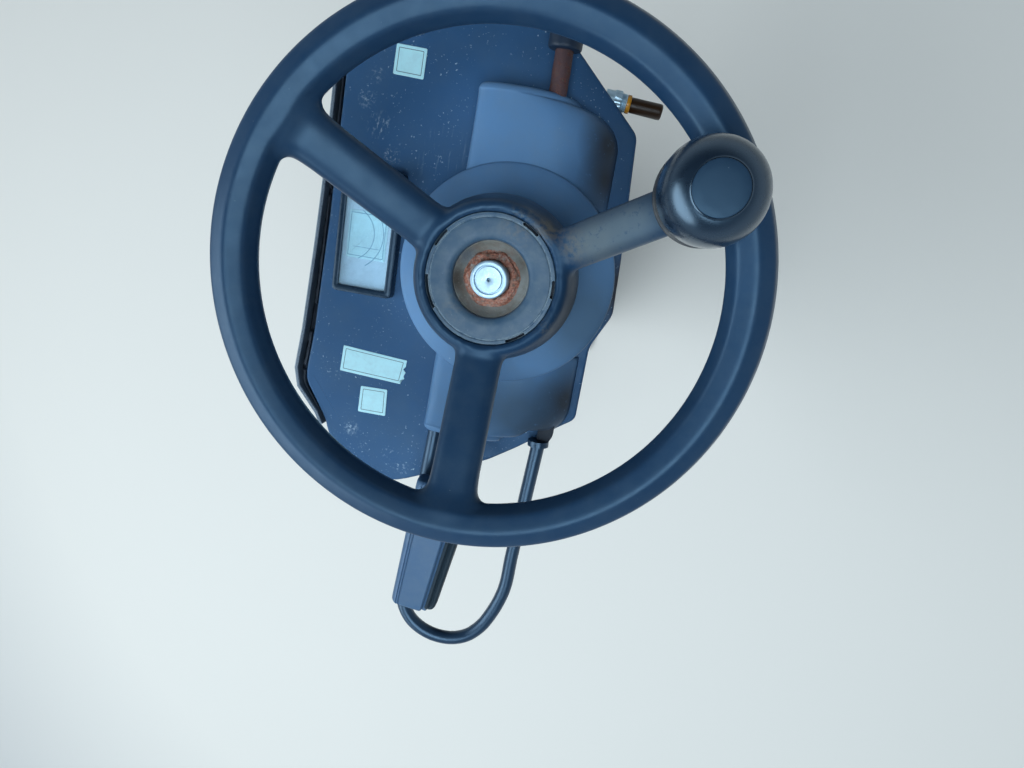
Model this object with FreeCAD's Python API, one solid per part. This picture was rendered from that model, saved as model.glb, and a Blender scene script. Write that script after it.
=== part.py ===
import FreeCAD, Part
import math
import os

os.makedirs("parts", exist_ok=True)
V = FreeCAD.Vector

# Driving dimensions, in millimetres and degrees.
# The base frame stands on the mounting face: +X forward, +Y to the operator's left, +Z up.
# The head frame has its origin at the middle of the rim and its z along the column.
columnTilt = 12.0
rimHeight = 640.0
rimSetback = 145.0
wheelRadius = 175.0
rimSection = 15.0
dashTop = -150.0
sheet = 3.0
baseLength = 210.0
baseWidth = 260.0
baseThickness = 8.0
boltInsetX = 25.0
boltInsetY = 20.0
boltHoleRadius = 6.5
pedestalFront = 30.0
pedestalRearFoot = -97.0
pedestalHalfWidth = 80.0
shaftRadius = 12.0
tubeTop = -92.0
runningClearance = 0.05
spokeAngles = (90.0, 210.0, 330.0)
knobInset = 23.5
knobRadius = 30.0
leverAngle = 6.8

wheelRing = wheelRadius - rimSection
boltSpacingX = baseLength - 2 * boltInsetX
boltSpacingY = baseWidth - 2 * boltInsetY


def headPlacement():
    turn = FreeCAD.Rotation(V(0, 1, 0), -columnTilt)
    return FreeCAD.Placement(V(-rimSetback, 0, rimHeight), turn)


def toBase(shape):
    moved = shape.copy()
    moved.transformShape(headPlacement().toMatrix())
    return moved


def box(x0, x1, y0, y1, z0, z1):
    return Part.makeBox(x1 - x0, y1 - y0, z1 - z0, V(x0, y0, z0))


def rod(x, y, z0, z1, radius):
    return Part.makeCylinder(radius, z1 - z0, V(x, y, z0))


def ring(x, y, z0, z1, inner, outer):
    return rod(x, y, z0, z1, outer).cut(rod(x, y, z0 - 1, z1 + 1, inner))


def prism(points, z0, z1, radius=0.0):
    wire = Part.makePolygon([V(x, y, z0) for x, y in points] + [V(points[0][0], points[0][1], z0)])
    solid = Part.Face(wire).extrude(V(0, 0, z1 - z0))
    if radius > 0:
        upright = [e for e in solid.Edges if abs(e.tangentAt(e.FirstParameter).z) > 0.99]
        solid = solid.makeFillet(radius, upright)
    return solid


def revolved(profile, centre=(0.0, 0.0)):
    wire = Part.makePolygon([V(r, 0, z) for r, z in profile] + [V(profile[0][0], 0, profile[0][1])])
    solid = Part.Face(wire).revolve(V(0, 0, 0), V(0, 0, 1), 360)
    solid.translate(V(centre[0], centre[1], 0))
    return solid


def smoothRevolved(edges, centre=(0.0, 0.0)):
    # Each edge is a list of two points, or of three for an arc; radius first, height second.
    parts = []
    for points in edges:
        corners = [V(r, 0, z) for r, z in points]
        if len(corners) == 3:
            parts.append(Part.Arc(corners[0], corners[1], corners[2]).toShape())
        else:
            parts.append(Part.makeLine(corners[0], corners[1]))
    solid = Part.Face(Part.Wire(parts)).revolve(V(0, 0, 0), V(0, 0, 1), 360)
    solid.translate(V(centre[0], centre[1], 0))
    return solid


def roundBar(start, end, radius):
    direction = end.sub(start)
    return Part.makeCylinder(radius, direction.Length, start, direction)


def rounded(solid, radius):
    return solid.makeFillet(radius, solid.Edges)


def sweptBar(wire, radius):
    edge = wire.Edges[0]
    start = edge.valueAt(edge.FirstParameter)
    tangent = edge.tangentAt(edge.FirstParameter)
    section = Part.Wire(Part.makeCircle(radius, start, tangent))
    return wire.makePipeShell([section], True, False)


nodes = {}

# Base plate with its bolt holes and the opening that the hoses pass through.
plate = prism(
    [(-baseLength / 2, -baseWidth / 2), (baseLength / 2, -baseWidth / 2),
     (baseLength / 2, baseWidth / 2), (-baseLength / 2, baseWidth / 2)],
    0, baseThickness, 18)
for sx in (-0.5, 0.5):
    for sy in (-0.5, 0.5):
        plate = plate.cut(rod(sx * boltSpacingX, sy * boltSpacingY, -1, baseThickness + 1, boltHoleRadius))
plate = plate.cut(prism([(-78, -48), (14, -48), (14, 48), (-78, 48)], -1, baseThickness + 1, 14))
nodes["base_plate"] = plate

# Pedestal: a welded box of folded sheet with a leaning rear wall.
# It is cut off square to the column under the dash.
dashUnder = dashTop - sheet
pedestalTop = rimHeight - 170
pedestalRearTop = -rimSetback - 24
wallEnd = rimHeight - 20


def pedestalBlock(inset, z0):
    # The rear wall runs on above its top height on the same slope.
    slope = (pedestalRearTop - pedestalRearFoot) / (pedestalTop - baseThickness)
    foot = pedestalRearFoot + slope * (z0 - baseThickness) + inset
    head = pedestalRearFoot + slope * (wallEnd - baseThickness) + inset
    front = pedestalFront - inset
    side = pedestalHalfWidth - inset
    wire = Part.makePolygon([V(foot, -side, z0), V(front, -side, z0), V(front, -side, wallEnd),
                             V(head, -side, wallEnd), V(foot, -side, z0)])
    block = Part.Face(wire).extrude(V(0, 2 * side, 0))
    upright = [e for e in block.Edges if abs(e.tangentAt(e.FirstParameter).z) > 0.9]
    return block.makeFillet(11 - inset, upright)


aboveDash = toBase(box(-400, 400, -400, 400, dashUnder, dashUnder + 500))
shell = pedestalBlock(0, baseThickness).cut(pedestalBlock(sheet, baseThickness - 1)).cut(aboveDash)
coverFoot = 96.0
coverHead = rimHeight - 296
hatch = box(pedestalFront - 10, pedestalFront + 10, -50, 50, coverFoot + 14, coverHead - 14)
shell = shell.cut(hatch)
nodes["pedestal"] = shell

cover = box(pedestalFront, pedestalFront + 2.5, -62, 62, coverFoot, coverHead)
cover = cover.makeFillet(8, [e for e in cover.Edges if abs(e.tangentAt(0).x) > 0.99])
nodes["service_cover"] = cover

for name, side in (("gusset_left", 1), ("gusset_right", -1)):
    inner = side * pedestalHalfWidth
    outer = side * (baseWidth / 2 - 9)
    corners = [(inner, 0), (outer, 0), (outer, 8), (inner, 70), (inner, 0)]
    wire = Part.makePolygon([V(-28, y, baseThickness + z) for y, z in corners])
    nodes[name] = Part.Face(wire).extrude(V(6, 0, 0))
reach = baseLength / 2 - pedestalFront - 13
corners = [(0, 0), (reach, 0), (reach, 8), (0, 70), (0, 0)]
wire = Part.makePolygon([V(pedestalFront + x, -3, baseThickness + z) for x, z in corners])
nodes["gusset_front"] = Part.Face(wire).extrude(V(0, 6, 0))

# Dash: a folded tray whose plate stands square to the column.
dashOutline = [
    (159, -152), (161.5, -20), (165.4, 78), (169, 115), (168, 125), (147, 158), (138, 172),
    (110, 192), (77, 204), (66, 200), (40, 188),
    (-6, 167), (-29, 151), (-60, 127), (-76, 115), (-83, -123), (-26, -178), (4, -206), (112, -206),
]


def inward(points, distance):
    wire = Part.makePolygon([V(x, y, 0) for x, y in points] + [V(points[0][0], points[0][1], 0)])
    offset = Part.Face(wire).makeOffset2D(-distance, 2)
    return [(v.Point.x, v.Point.y) for v in offset.OuterWire.OrderedVertexes]


lipDepth = 18.0
tray = prism(dashOutline, dashTop - lipDepth, dashTop, 5)
tray = tray.cut(prism(inward(dashOutline, sheet), dashTop - lipDepth - 1, dashUnder, 3))
tray = tray.cut(rod(0, 0, dashTop - 20, dashTop + 1, 25))
nodes["dash_plate"] = toBase(tray)

# Skirt plate in front of the dash, and the rubber strip that closes the gap behind it.
skirtLine = [
    (112, -211), (139, -182), (165, -150), (166.3, -55), (168.4, 1), (172.5, 78), (176, 114),
    (172.5, 129.5), (154, 151), (148, 162),
]


def outward(points, distance):
    # Moves an open run of points to its outer side, square to the runs beside each point.
    moved = []
    for i, (x, y) in enumerate(points):
        x0, y0 = points[max(i - 1, 0)]
        x1, y1 = points[min(i + 1, len(points) - 1)]
        length = math.hypot(x1 - x0, y1 - y0)
        moved.append((x + distance * (y1 - y0) / length, y - distance * (x1 - x0) / length))
    return moved


def runPlate(near, far, z0, z1):
    return prism(near + list(reversed(far)), z0, z1)


skirtOuter = outward(skirtLine, sheet)
nodes["front_skirt"] = toBase(runPlate(skirtLine, skirtOuter, dashTop - 72, dashTop + 3))
dashBlock = prism(dashOutline, dashTop - lipDepth, dashTop + 20, 5)
stripRun = skirtLine[2:-1]
strip = runPlate(outward(stripRun, -22), stripRun, dashTop - 13, dashTop - 1).cut(dashBlock)
strip = strip.cut(runPlate(skirtLine, skirtOuter, dashTop - 80, dashTop + 3))
strip = max(strip.Solids, key=lambda solid: solid.Volume)
nodes["dash_trim"] = toBase(strip)
bracketFoot = rimHeight - 178
bracket = box(pedestalFront, 255 - rimSetback, -40, 40, bracketFoot, bracketFoot + 4)
skirtZone = toBase(runPlate(skirtLine, outward(skirtLine, 60), dashTop - 90, dashTop + 20))
nodes["skirt_bracket"] = bracket.cut(skirtZone)

# Steering unit: valve block under the dash, its column tube and the shaft bearings.
unitTop = dashUnder - 13
unitFoot = unitTop - 46
unit = rounded(box(-42, 42, -42, 42, unitFoot, unitTop), 4)
motor = rod(0, 0, unitFoot - 73, unitFoot, 40)
motorEnd = rod(0, 0, unitFoot - 80, unitFoot - 73, 44)
unit = unit.fuse([motor, motorEnd]).removeSplitter()
for py in (-16, 16):
    for pz in (unitTop - 34, unitTop - 12):
        unit = unit.cut(roundBar(V(26, py, pz), V(50, py, pz), 8))
unit = unit.cut(rod(0, 0, unitTop - 24, unitTop + 6, shaftRadius + runningClearance))
nodes["steering_unit"] = toBase(unit)

flange = prism([(-55, -48), (55, -48), (55, 48), (-55, 48)], unitTop, dashUnder, 10)
flange = flange.cut(rod(0, 0, unitTop - 4, dashTop, 25))
nodes["column_flange"] = toBase(flange)
nodes["column_tube"] = toBase(ring(0, 0, unitTop, tubeTop, shaftRadius + runningClearance, 25))

# Shroud: an arched cover lying across the console with a round collar in its middle.
archEnd = 141.0


def archSection(y, front, inset):
    base = dashTop if inset == 0 else dashTop - 1
    toe = V(front - inset, y, base)
    wall = V(front - 1.5 - inset, y, dashTop + 20)
    edge = V(front - 3.5 - inset * 0.7, y, dashTop + 26.5 - inset * 0.7)
    brow = V(front - 9 - inset * 0.4, y, dashTop + 29.5 - inset)
    crest = V(-4, y, dashTop + 33 - inset)
    shoulder = V(-40, y, dashTop + 26 - inset)
    roll = V(-61 + inset * 0.8, y, dashTop + 14.5 - inset * 0.4)
    foot = V(-70 + inset, y, base)
    edges = [
        Part.makeLine(toe, wall),
        Part.Arc(wall, edge, brow).toShape(),
        Part.Arc(brow, crest, shoulder).toShape(),
        Part.Arc(shoulder, roll, foot).toShape(),
        Part.makeLine(foot, toe),
    ]
    return Part.Wire(edges)


def archLoft(inset):
    return Part.makeLoft([archSection(-150, 45.5, inset), archSection(150, 53, inset)], True, True)


def archBody(inset):
    loft = archLoft(inset)
    reach = archEnd - inset
    plan = prism([(-90, -reach), (70, -reach), (70, reach), (-90, reach)], dashTop - 10, dashTop + 50)
    back = -72 + inset
    corner = 36.0
    cuts = []
    for side in (-1, 1):
        block = box(back - 20, back + corner, min(side * (reach - corner), side * (reach + 20)),
                    max(side * (reach - corner), side * (reach + 20)), dashTop - 15, dashTop + 55)
        post = rod(back + corner, side * (reach - corner), dashTop - 20, dashTop + 60, corner)
        cuts.append(block.cut(post))
    return loft.common(plan).cut(cuts[0]).cut(cuts[1])


collarRadius = 86.0
cavity = archLoft(sheet)
wings = archBody(0).cut(archBody(sheet)).cut(rod(0, 0, dashTop - 10, dashTop + 50, collarRadius))
wings = wings.cut(cavity.common(box(-34, 60, 120, 160, dashTop - 2, dashTop + 40)))
wings = wings.cut(cavity.common(box(-46, 14, -160, -120, dashTop - 2, dashTop + 40)))
wingSolids = sorted(wings.Solids, key=lambda s: s.CenterOfMass.y)
nodes["shroud_right"] = toBase(wingSolids[0])
nodes["shroud_left"] = toBase(wingSolids[-1])

collar = smoothRevolved([
    [(collarRadius, dashTop), (collarRadius, dashTop + 31)],
    [(collarRadius, dashTop + 31), (85.2, dashTop + 33.8), (82.5, dashTop + 35)],
    [(82.5, dashTop + 35), (50, dashTop + 46)],
    [(50, dashTop + 46), (46, dashTop + 47.8), (44, dashTop + 52)],
    [(44, dashTop + 52), (41, dashTop + 52)],
    [(41, dashTop + 52), (42.5, dashTop + 45.5), (48, dashTop + 43)],
    [(48, dashTop + 43), (83, dashTop + 30.5)],
    [(83, dashTop + 30.5), (83, dashTop)],
    [(83, dashTop), (collarRadius, dashTop)],
])
collar = collar.cut(box(-36, 36, 55, 100, dashTop - 1, dashTop + 26))
nodes["shroud_collar"] = toBase(collar)

# Steering shaft, hub and the parts seated in it.
shaft = rod(0, 0, unitTop - 22, -33, shaftRadius).fuse(rod(0, 0, -60, -31, 12.5)).removeSplitter()
shaft = shaft.cut(ring(0, 0, -32.2, -30, 8.6, 9.6)).cut(Part.makeCone(0.1, 2.4, 3, V(0, 0, -33.5)))
nodes["steering_shaft"] = toBase(shaft)
nodes["hub_washer"] = toBase(ring(0, 0, -48, -44.5, 12.5, 23))
nut = prism([(21 * math.cos(math.radians(a)), 21 * math.sin(math.radians(a))) for a in range(10, 370, 60)],
            -44.5, -34)
nodes["hub_nut"] = toBase(nut.cut(rod(0, 0, -50, -30, 12.5)))
nodes["hub_boss"] = toBase(revolved([(12.5, -84), (21, -84), (21, -60), (26, -56), (26, -48), (12.5, -48)]))

hub = smoothRevolved([
    [(26, -62), (26, -36)],
    [(26, -36), (43.8, -36)],
    [(43.8, -36), (43.8, -30.5)],
    [(43.8, -30.5), (47.5, -29), (51.5, -32)],
    [(51.5, -32), (55, -42)],
    [(55, -42), (57.5, -52), (58.4, -66)],
    [(58.4, -66), (58.4, -74)],
    [(58.4, -74), (54.4, -74)],
    [(54.4, -74), (52, -62)],
    [(52, -62), (26, -62)],
])


spokeStart = 36.0


def spokeBody(angle, share):
    # Columns: share of the way from the hub to the ring, height, half width, half thickness.
    table = [
        (0, -47, 19, 11), (0.129, -43, 17.5, 10.5), (0.3145, -33.5, 16.5, 10), (0.516, -23, 16, 10),
        (0.6935, -13.5, 16.5, 10.5), (0.8065, -7.5, 19, 11.5), (0.895, -3.5, 25, 12.5),
        (0.968, -1, 36, 12.5),
    ]
    sections = []
    for way, z, half, thick in table:
        r = spokeStart + way * (wheelRing - spokeStart)
        ellipse = Part.Ellipse(V(0, 0, 0), half * (share if way < 0.85 else 1.0), thick)
        wire = Part.Wire(ellipse.toShape())
        wire.rotate(V(0, 0, 0), V(1, 0, 0), 90)
        wire.rotate(V(0, 0, 0), V(0, 0, 1), 90)
        wire.translate(V(r, 0, z))
        sections.append(wire)
    solid = Part.makeLoft(sections, True, False)
    solid.rotate(V(0, 0, 0), V(0, 0, 1), angle)
    return solid


rim = Part.makeTorus(wheelRing, rimSection)
spokes = [spokeBody(angle, 0.88 if angle == spokeAngles[1] else 1.0) for angle in spokeAngles]
spokes = [s.cut(rod(0, 0, -80, 0, 43.8)) for s in spokes]
moulding = rim.fuse(spokes + [hub]).removeSplitter()

insert = smoothRevolved([
    [(26, -36), (26, -33)],
    [(26, -33), (28.5, -31.4), (32, -31)],
    [(32, -31), (42, -31)],
    [(42, -31), (43.3, -31.6), (43.8, -33)],
    [(43.8, -33), (43.8, -36)],
    [(43.8, -36), (26, -36)],
])
nodes["hub_insert"] = toBase(insert)

# Spinner knob on the slim spoke: base plate, pin, turned body and cap.
knobTurn = math.radians(spokeAngles[1])
kx = (wheelRing - knobInset) * math.cos(knobTurn)
ky = (wheelRing - knobInset) * math.sin(knobTurn)
knobPlace = (kx, ky)
kr = knobRadius
knobBase = smoothRevolved([
    [(0, 2), (17, 2)],
    [(17, 2), (17, 6)],
    [(17, 6), (20, 9.5), (27, 12.5)],
    [(27, 12.5), (28.5, 14), (28.6, 16)],
    [(28.6, 16), (28.6, 18.5)],
    [(28.6, 18.5), (0, 18.5)],
    [(0, 18.5), (0, 2)],
], knobPlace)
nodes["knob_base"] = toBase(knobBase)
knobSeat = knobBase.translated(V(0, 0, -0.2))
moulding = moulding.cut(rod(kx, ky, 1.8, 30, 17.2)).cut(knobSeat)
nodes["wheel_moulding"] = toBase(max(moulding.Solids, key=lambda solid: solid.Volume))
knobPin = rod(kx, ky, 18.5, 56, 6).fuse(rod(kx, ky, 48.3, 53, 10)).removeSplitter()
nodes["knob_pin"] = toBase(knobPin)
knobBore = 6 + runningClearance
knob = smoothRevolved([
    [(knobBore, 20.5), (kr - 4, 20.5)],
    [(kr - 4, 20.5), (kr - 2.4, 21.2), (kr - 1.8, 23)],
    [(kr - 1.8, 23), (kr - 0.3, 34), (kr, 42)],
    [(kr, 42), (kr - 1.6, 51), (kr - 6, 58.5)],
    [(kr - 6, 58.5), (kr - 8, 60.4), (kr - 10.5, 61.4)],
    [(kr - 10.5, 61.4), (15.2, 62.6)],
    [(15.2, 62.6), (15.2, 60)],
    [(15.2, 60), (13, 60)],
    [(13, 60), (13, 48)],
    [(13, 48), (knobBore, 48)],
    [(knobBore, 48), (knobBore, 20.5)],
], knobPlace)
nodes["knob_body"] = toBase(knob)
nodes["knob_cap"] = toBase(rod(kx, ky, 60, 62.8, 15.2).cut(ring(kx, ky, 61.9, 63, 14.2, 16)))

# Instrument on the dash.
bezel = box(97, 149, -66, 38, dashTop, dashTop + 12)
bezel = bezel.makeFillet(4, [e for e in bezel.Edges if abs(e.tangentAt(0).z) > 0.99])
bezel = bezel.cut(box(100.5, 145.5, -62.5, 34.5, dashTop + 6, dashTop + 20))
nodes["instrument_case"] = toBase(bezel)
nodes["instrument_face"] = toBase(box(100.5, 145.5, -62.5, 34.5, dashTop + 6, dashTop + 7.5))
nodes["instrument_glass"] = toBase(box(100.5, 145.5, -62.5, 34.5, dashTop + 9, dashTop + 11))

# Direction lever: it turns about the column tube inside the collar, and its rod is cranked up to the grip.
leverLevel = dashTop + 12
gripLevel = dashTop + 30
leverRing = ring(0, 0, leverLevel - 6.5, leverLevel + 6.5, 25 + runningClearance, 37)


def polyBar(points, radius, bend):
    # A round bar along straight runs joined by arcs of the given bend radius.
    corners = [V(*p) for p in points]
    edges = []
    last = corners[0]
    for i in range(1, len(corners) - 1):
        into = (corners[i] - corners[i - 1]).normalize()
        out = (corners[i + 1] - corners[i]).normalize()
        half = into.getAngle(out) / 2
        trim = bend * math.tan(half)
        first = corners[i] - into * trim
        second = corners[i] + out * trim
        middle = (first + second) * 0.5
        toward = (out - into).normalize()
        centre = corners[i] + toward * (bend / math.cos(half))
        apex = centre - toward * bend
        edges.append(Part.makeLine(last, first))
        edges.append(Part.Arc(first, apex, second).toShape())
        last = second
    edges.append(Part.makeLine(last, corners[-1]))
    return sweptBar(Part.Wire(edges), radius)


rodLine = [(0, 30, leverLevel), (0, 145, leverLevel), (0, 178, gripLevel), (0, 222, gripLevel)]
leverRod = polyBar(rodLine, 5, 16).cut(rod(0, 0, leverLevel - 22, leverLevel + 28, 37))


def gripBody(front, back, startHalf, endHalf, thick, level):
    # Columns: share of the length, share of the full size.
    steps = [(0.0, 0.86), (0.04, 0.97), (0.1, 1.0), (0.55, 0.97), (0.95, 1.0), (1.0, 0.93)]
    sections = []
    for share, size in steps:
        along = front + (back - front) * share
        half = (startHalf + (endHalf - startHalf) * share) * size
        low = thick * size
        corners = [(-half, -low), (half, -low), (half * 0.78, low), (-half * 0.78, low)]
        wire = Part.makePolygon([V(x, along, level + z) for x, z in corners + corners[:1]])
        sections.append(wire)
    return Part.makeLoft(sections, True, True)


leverGrip = gripBody(186, 306, 26, 20, 11, gripLevel).cut(leverRod)
for name, shape in (("lever_ring", leverRing), ("lever_rod", leverRod), ("lever_grip", leverGrip)):
    shape.rotate(V(0, 0, 0), V(0, 0, 1), -leverAngle)
    nodes[name] = toBase(shape)

# Guard hoop under the direction lever, and the pieces that hold its two legs.
hoopBar = 6.0
hoopHeight = dashTop + hoopBar
bendPoints = [
    (51.5, 296), (49.5, 322), (41, 335), (28, 343.5), (14, 347),
    (-1, 346), (-13.5, 340.5), (-25.5, 328), (-34, 311), (-41, 288),
]
frontLeg = Part.makeLine(V(42, 122, hoopHeight), V(51.5, 296, hoopHeight))
rearLeg = Part.makeLine(V(-41, 288, hoopHeight), V(-48.7, 142.3, hoopHeight))
curve = Part.BSplineCurve()
curve.interpolate([V(x, y, hoopHeight) for x, y in bendPoints],
                  InitialTangent=V(9.5, 174, 0), FinalTangent=V(-7.8, -148.5, 0))
hoop = sweptBar(Part.Wire([frontLeg, curve.toShape(), rearLeg]), hoopBar)
nodes["guard_hoop"] = toBase(hoop)
clip = box(32, 47, 122, 134, dashTop, dashTop + 15.5).cut(hoop)
nodes["hoop_clip"] = toBase(max(clip.Solids, key=lambda solid: solid.Volume))
collarLine = V(-7.8, -148.5, 0).normalize()
collarStart = V(-48.7, 142.3, hoopHeight)
legCollar = roundBar(collarStart - collarLine * 5, collarStart, 9.5)
dashSolid = prism(dashOutline, dashTop - 25, dashTop, 5)
tab = box(-62, -46, 120, 144, dashTop - 10, dashTop + 10).fuse(legCollar)
tab = tab.cut(dashSolid).removeSplitter().cut(hoop).cut(archBody(0))
nodes["hoop_tab"] = toBase(tab)

# Tip lever on the operator's right: a bar on a pin inside the shroud.
tipX = -16.0
tipPivot = -105.0
nodes["tip_pin"] = toBase(rod(tipX, tipPivot, dashTop, dashTop + 24, 5))
tipBoss = ring(tipX, tipPivot, dashTop + 6, dashTop + 19, 5 + runningClearance, 13)
tipBar = roundBar(V(tipX, tipPivot - 8, dashTop + 12), V(tipX, -216, dashTop + 23), 7)
tipBar = tipBar.cut(rod(tipX, tipPivot, dashTop - 10, dashTop + 30, 13))
tipGrip = roundBar(V(tipX, -171.5, dashTop + 18.5), V(tipX, -286, dashTop + 30.2), 13)
tipGrip = rounded(tipGrip, 4).cut(tipBar)
nodes["tip_boss"] = toBase(tipBoss)
nodes["tip_bar"] = toBase(tipBar)
nodes["tip_grip"] = toBase(tipGrip)

# Small controls: the knob on the rear corner of the dash, the key switch and the power socket.
knobLine = V(-math.cos(math.radians(4.5)), math.sin(math.radians(4.5)), -0.05).normalize()
stopRoot = V(-52, -148.3, dashTop - 9)


def stopPiece(start, length, radius):
    return roundBar(stopRoot + knobLine * start, stopRoot + knobLine * (start + length), radius)


nodes["stop_base"] = toBase(stopPiece(0, 17.3, 8.5).cut(dashSolid))
nodes["stop_band"] = toBase(stopPiece(17.3, 3.4, 7))
nodes["stop_handle"] = toBase(rounded(stopPiece(20.7, 26, 6.8), 1.5))
keyBarrel = rod(106, -184, dashTop, dashTop + 9, 13).cut(box(92, 120, -185, -183, dashTop + 5, dashTop + 12))
nodes["key_switch"] = toBase(keyBarrel)
nodes["key_blade"] = toBase(box(95, 117, -185, -183, dashTop + 5, dashTop + 34))
socketX = -40.0
socketZ = rimHeight - 240
socketFace = pedestalHalfWidth + 14
socket = roundBar(V(socketX, pedestalHalfWidth, socketZ), V(socketX, socketFace, socketZ), 17)
socketBore = roundBar(V(socketX, pedestalHalfWidth + 3, socketZ), V(socketX, socketFace + 10, socketZ), 11)
nodes["power_socket"] = socket.cut(socketBore)

names = list(nodes)
for name in names:
    shape = nodes[name]
    solids = shape.Solids
    if len(solids) == 1:
        shape = solids[0]
    print(name, "solids", len(solids), "valid", shape.isValid(), "volume", round(shape.Volume / 1000, 1))
    shape.exportStep("parts/" + name + ".step")
print("nodes", len(names))
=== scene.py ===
import bmesh
import bpy
import math
import numpy as np
from mathutils import Matrix


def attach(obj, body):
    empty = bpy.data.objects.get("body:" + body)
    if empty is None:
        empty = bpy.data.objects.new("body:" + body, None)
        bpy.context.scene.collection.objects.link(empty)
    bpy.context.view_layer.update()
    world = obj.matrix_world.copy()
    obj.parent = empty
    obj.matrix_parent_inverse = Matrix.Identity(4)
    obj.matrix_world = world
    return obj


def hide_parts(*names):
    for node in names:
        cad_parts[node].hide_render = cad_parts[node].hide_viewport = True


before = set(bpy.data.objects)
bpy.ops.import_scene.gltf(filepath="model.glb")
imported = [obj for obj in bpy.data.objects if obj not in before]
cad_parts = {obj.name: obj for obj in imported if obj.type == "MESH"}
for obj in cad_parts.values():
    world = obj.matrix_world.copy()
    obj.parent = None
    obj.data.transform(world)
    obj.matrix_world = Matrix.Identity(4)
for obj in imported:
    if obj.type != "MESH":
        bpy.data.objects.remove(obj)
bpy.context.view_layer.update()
print("frame loaded:", len(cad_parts), "nodes")

# The head leans back with the column: its origin is the middle of the rim, its z runs up the column.
head = {"tilt": 12.0, "setback": 145.0, "height": 640.0}


def onHead(points):
    # Head frame in millimetres to the row frame in metres: a turn by the tilt about y, then a move.
    p = np.asarray(points, float)
    c, s = math.cos(math.radians(head["tilt"])), math.sin(math.radians(head["tilt"]))
    x = p[..., 0] * c - p[..., 2] * s - head["setback"]
    z = p[..., 0] * s + p[..., 2] * c + head["height"]
    return np.stack([x, p[..., 1], z], -1) / 1000


def toHead(points):
    # The inverse of onHead: metres of the row frame to head millimetres.
    p = np.asarray(points, float) * 1000 + [head["setback"], 0, -head["height"]]
    c, s = math.cos(math.radians(head["tilt"])), math.sin(math.radians(head["tilt"]))
    return np.stack([p[..., 0] * c + p[..., 2] * s, p[..., 1], p[..., 2] * c - p[..., 0] * s], -1)


def onBase(points):
    # Base frame in millimetres to the row frame in metres.
    return np.asarray(points, float) / 1000


def gridFaces(rows, cols, ringRows=False, ringCols=False):
    # Quads between neighbouring rows and columns; a ring joins its last line to its first.
    i = np.arange(rows if ringRows else rows - 1)[:, None]
    j = np.arange(cols if ringCols else cols - 1)[None, :]
    ni, nj = (i + 1) % rows, (j + 1) % cols
    quads = [i * cols + j, i * cols + nj, ni * cols + nj, ni * cols + j]
    return np.stack(quads, -1).reshape(-1, 4).tolist()


def closedTube(grid):
    # Faces of rows of closed sections, with one face over each end.
    rows, cols = grid.shape[:2]
    ends = [list(range(cols))[::-1], [(rows - 1) * cols + k for k in range(cols)]]
    return gridFaces(rows, cols, False, True) + ends


def closedRing(grid):
    return gridFaces(*grid.shape[:2], True, True)


def joined(parts):
    # Pairs of a grid and its faces as one list of points and one of faces.
    points, faces, start = [], [], 0
    for grid, own in parts:
        points.append(grid.reshape(-1, 3))
        faces += [[v + start for v in f] for f in own]
        start += len(points[-1])
    return np.concatenate(points), faces


def linked(name, data):
    made = bpy.data.objects.new(name, data)
    bpy.context.scene.collection.objects.link(made)
    return made


def dressed(piece, body, finish):
    piece.data.polygons.foreach_set("use_smooth", np.ones(len(piece.data.polygons), bool))
    piece.data.materials.append(finishes[finish])
    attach(piece, body)


def addPiece(name, points, faces, body, slotName, finish, stands=(), crease=40):
    # Points in metres; doubles are merged and the faces turned outwards before shading.
    mesh = bpy.data.meshes.new(name)
    mesh.from_pydata(np.asarray(points, float).reshape(-1, 3).tolist(), [], faces)
    bm = bmesh.new()
    bm.from_mesh(mesh)
    bmesh.ops.remove_doubles(bm, verts=bm.verts, dist=1e-6)
    bmesh.ops.dissolve_degenerate(bm, dist=1e-7, edges=bm.edges)
    bmesh.ops.recalc_face_normals(bm, faces=bm.faces)
    bm.to_mesh(mesh)
    bm.free()
    piece = linked(name, mesh)
    dressed(piece, body, finish)
    mesh.set_sharp_from_angle(angle=math.radians(crease))
    if stands:
        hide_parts(*stands)
    return piece


def addTube(name, grid, *rest):
    return addPiece(name, onHead(grid), closedTube(grid), *rest)


def addRing(name, grid, *rest):
    return addPiece(name, onHead(grid), closedRing(grid), *rest)


def softEdges(piece, width, segments, degrees):
    edges = piece.modifiers.new("edges", "BEVEL")
    edges.width, edges.segments = width / 1000, segments
    edges.limit_method, edges.angle_limit = "ANGLE", math.radians(degrees)
    return edges


def softened(name, node, body, finish, width):
    # A merged copy of a CAD node whose edges get a small round.
    bm = bmesh.new()
    bm.from_mesh(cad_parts[node].data)
    bmesh.ops.remove_doubles(bm, verts=bm.verts, dist=1e-5)
    bmesh.ops.dissolve_limit(bm, angle_limit=math.radians(0.6), verts=bm.verts, edges=bm.edges)
    mesh = bpy.data.meshes.new(name)
    bm.to_mesh(mesh)
    bm.free()
    piece = linked(name, mesh)
    dressed(piece, body, finish)
    softEdges(piece, width, 3, 35).harden_normals = True
    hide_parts(node)


def shadedWhere(piece, finish, test):
    # A second finish on the faces whose centres, in head millimetres, pass the test.
    centres = np.empty(len(piece.data.polygons) * 3)
    piece.data.polygons.foreach_get("center", centres)
    piece.data.materials.append(finishes[finish])
    chosen = test(*toHead(centres.reshape(-1, 3)).T)
    piece.data.polygons.foreach_set("material_index", chosen.astype(np.int32))


def softStep(x):
    # 0 far below zero, 1 far above it.
    return 1 / (1 + np.exp(-np.clip(x, -500, 500)))


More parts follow.
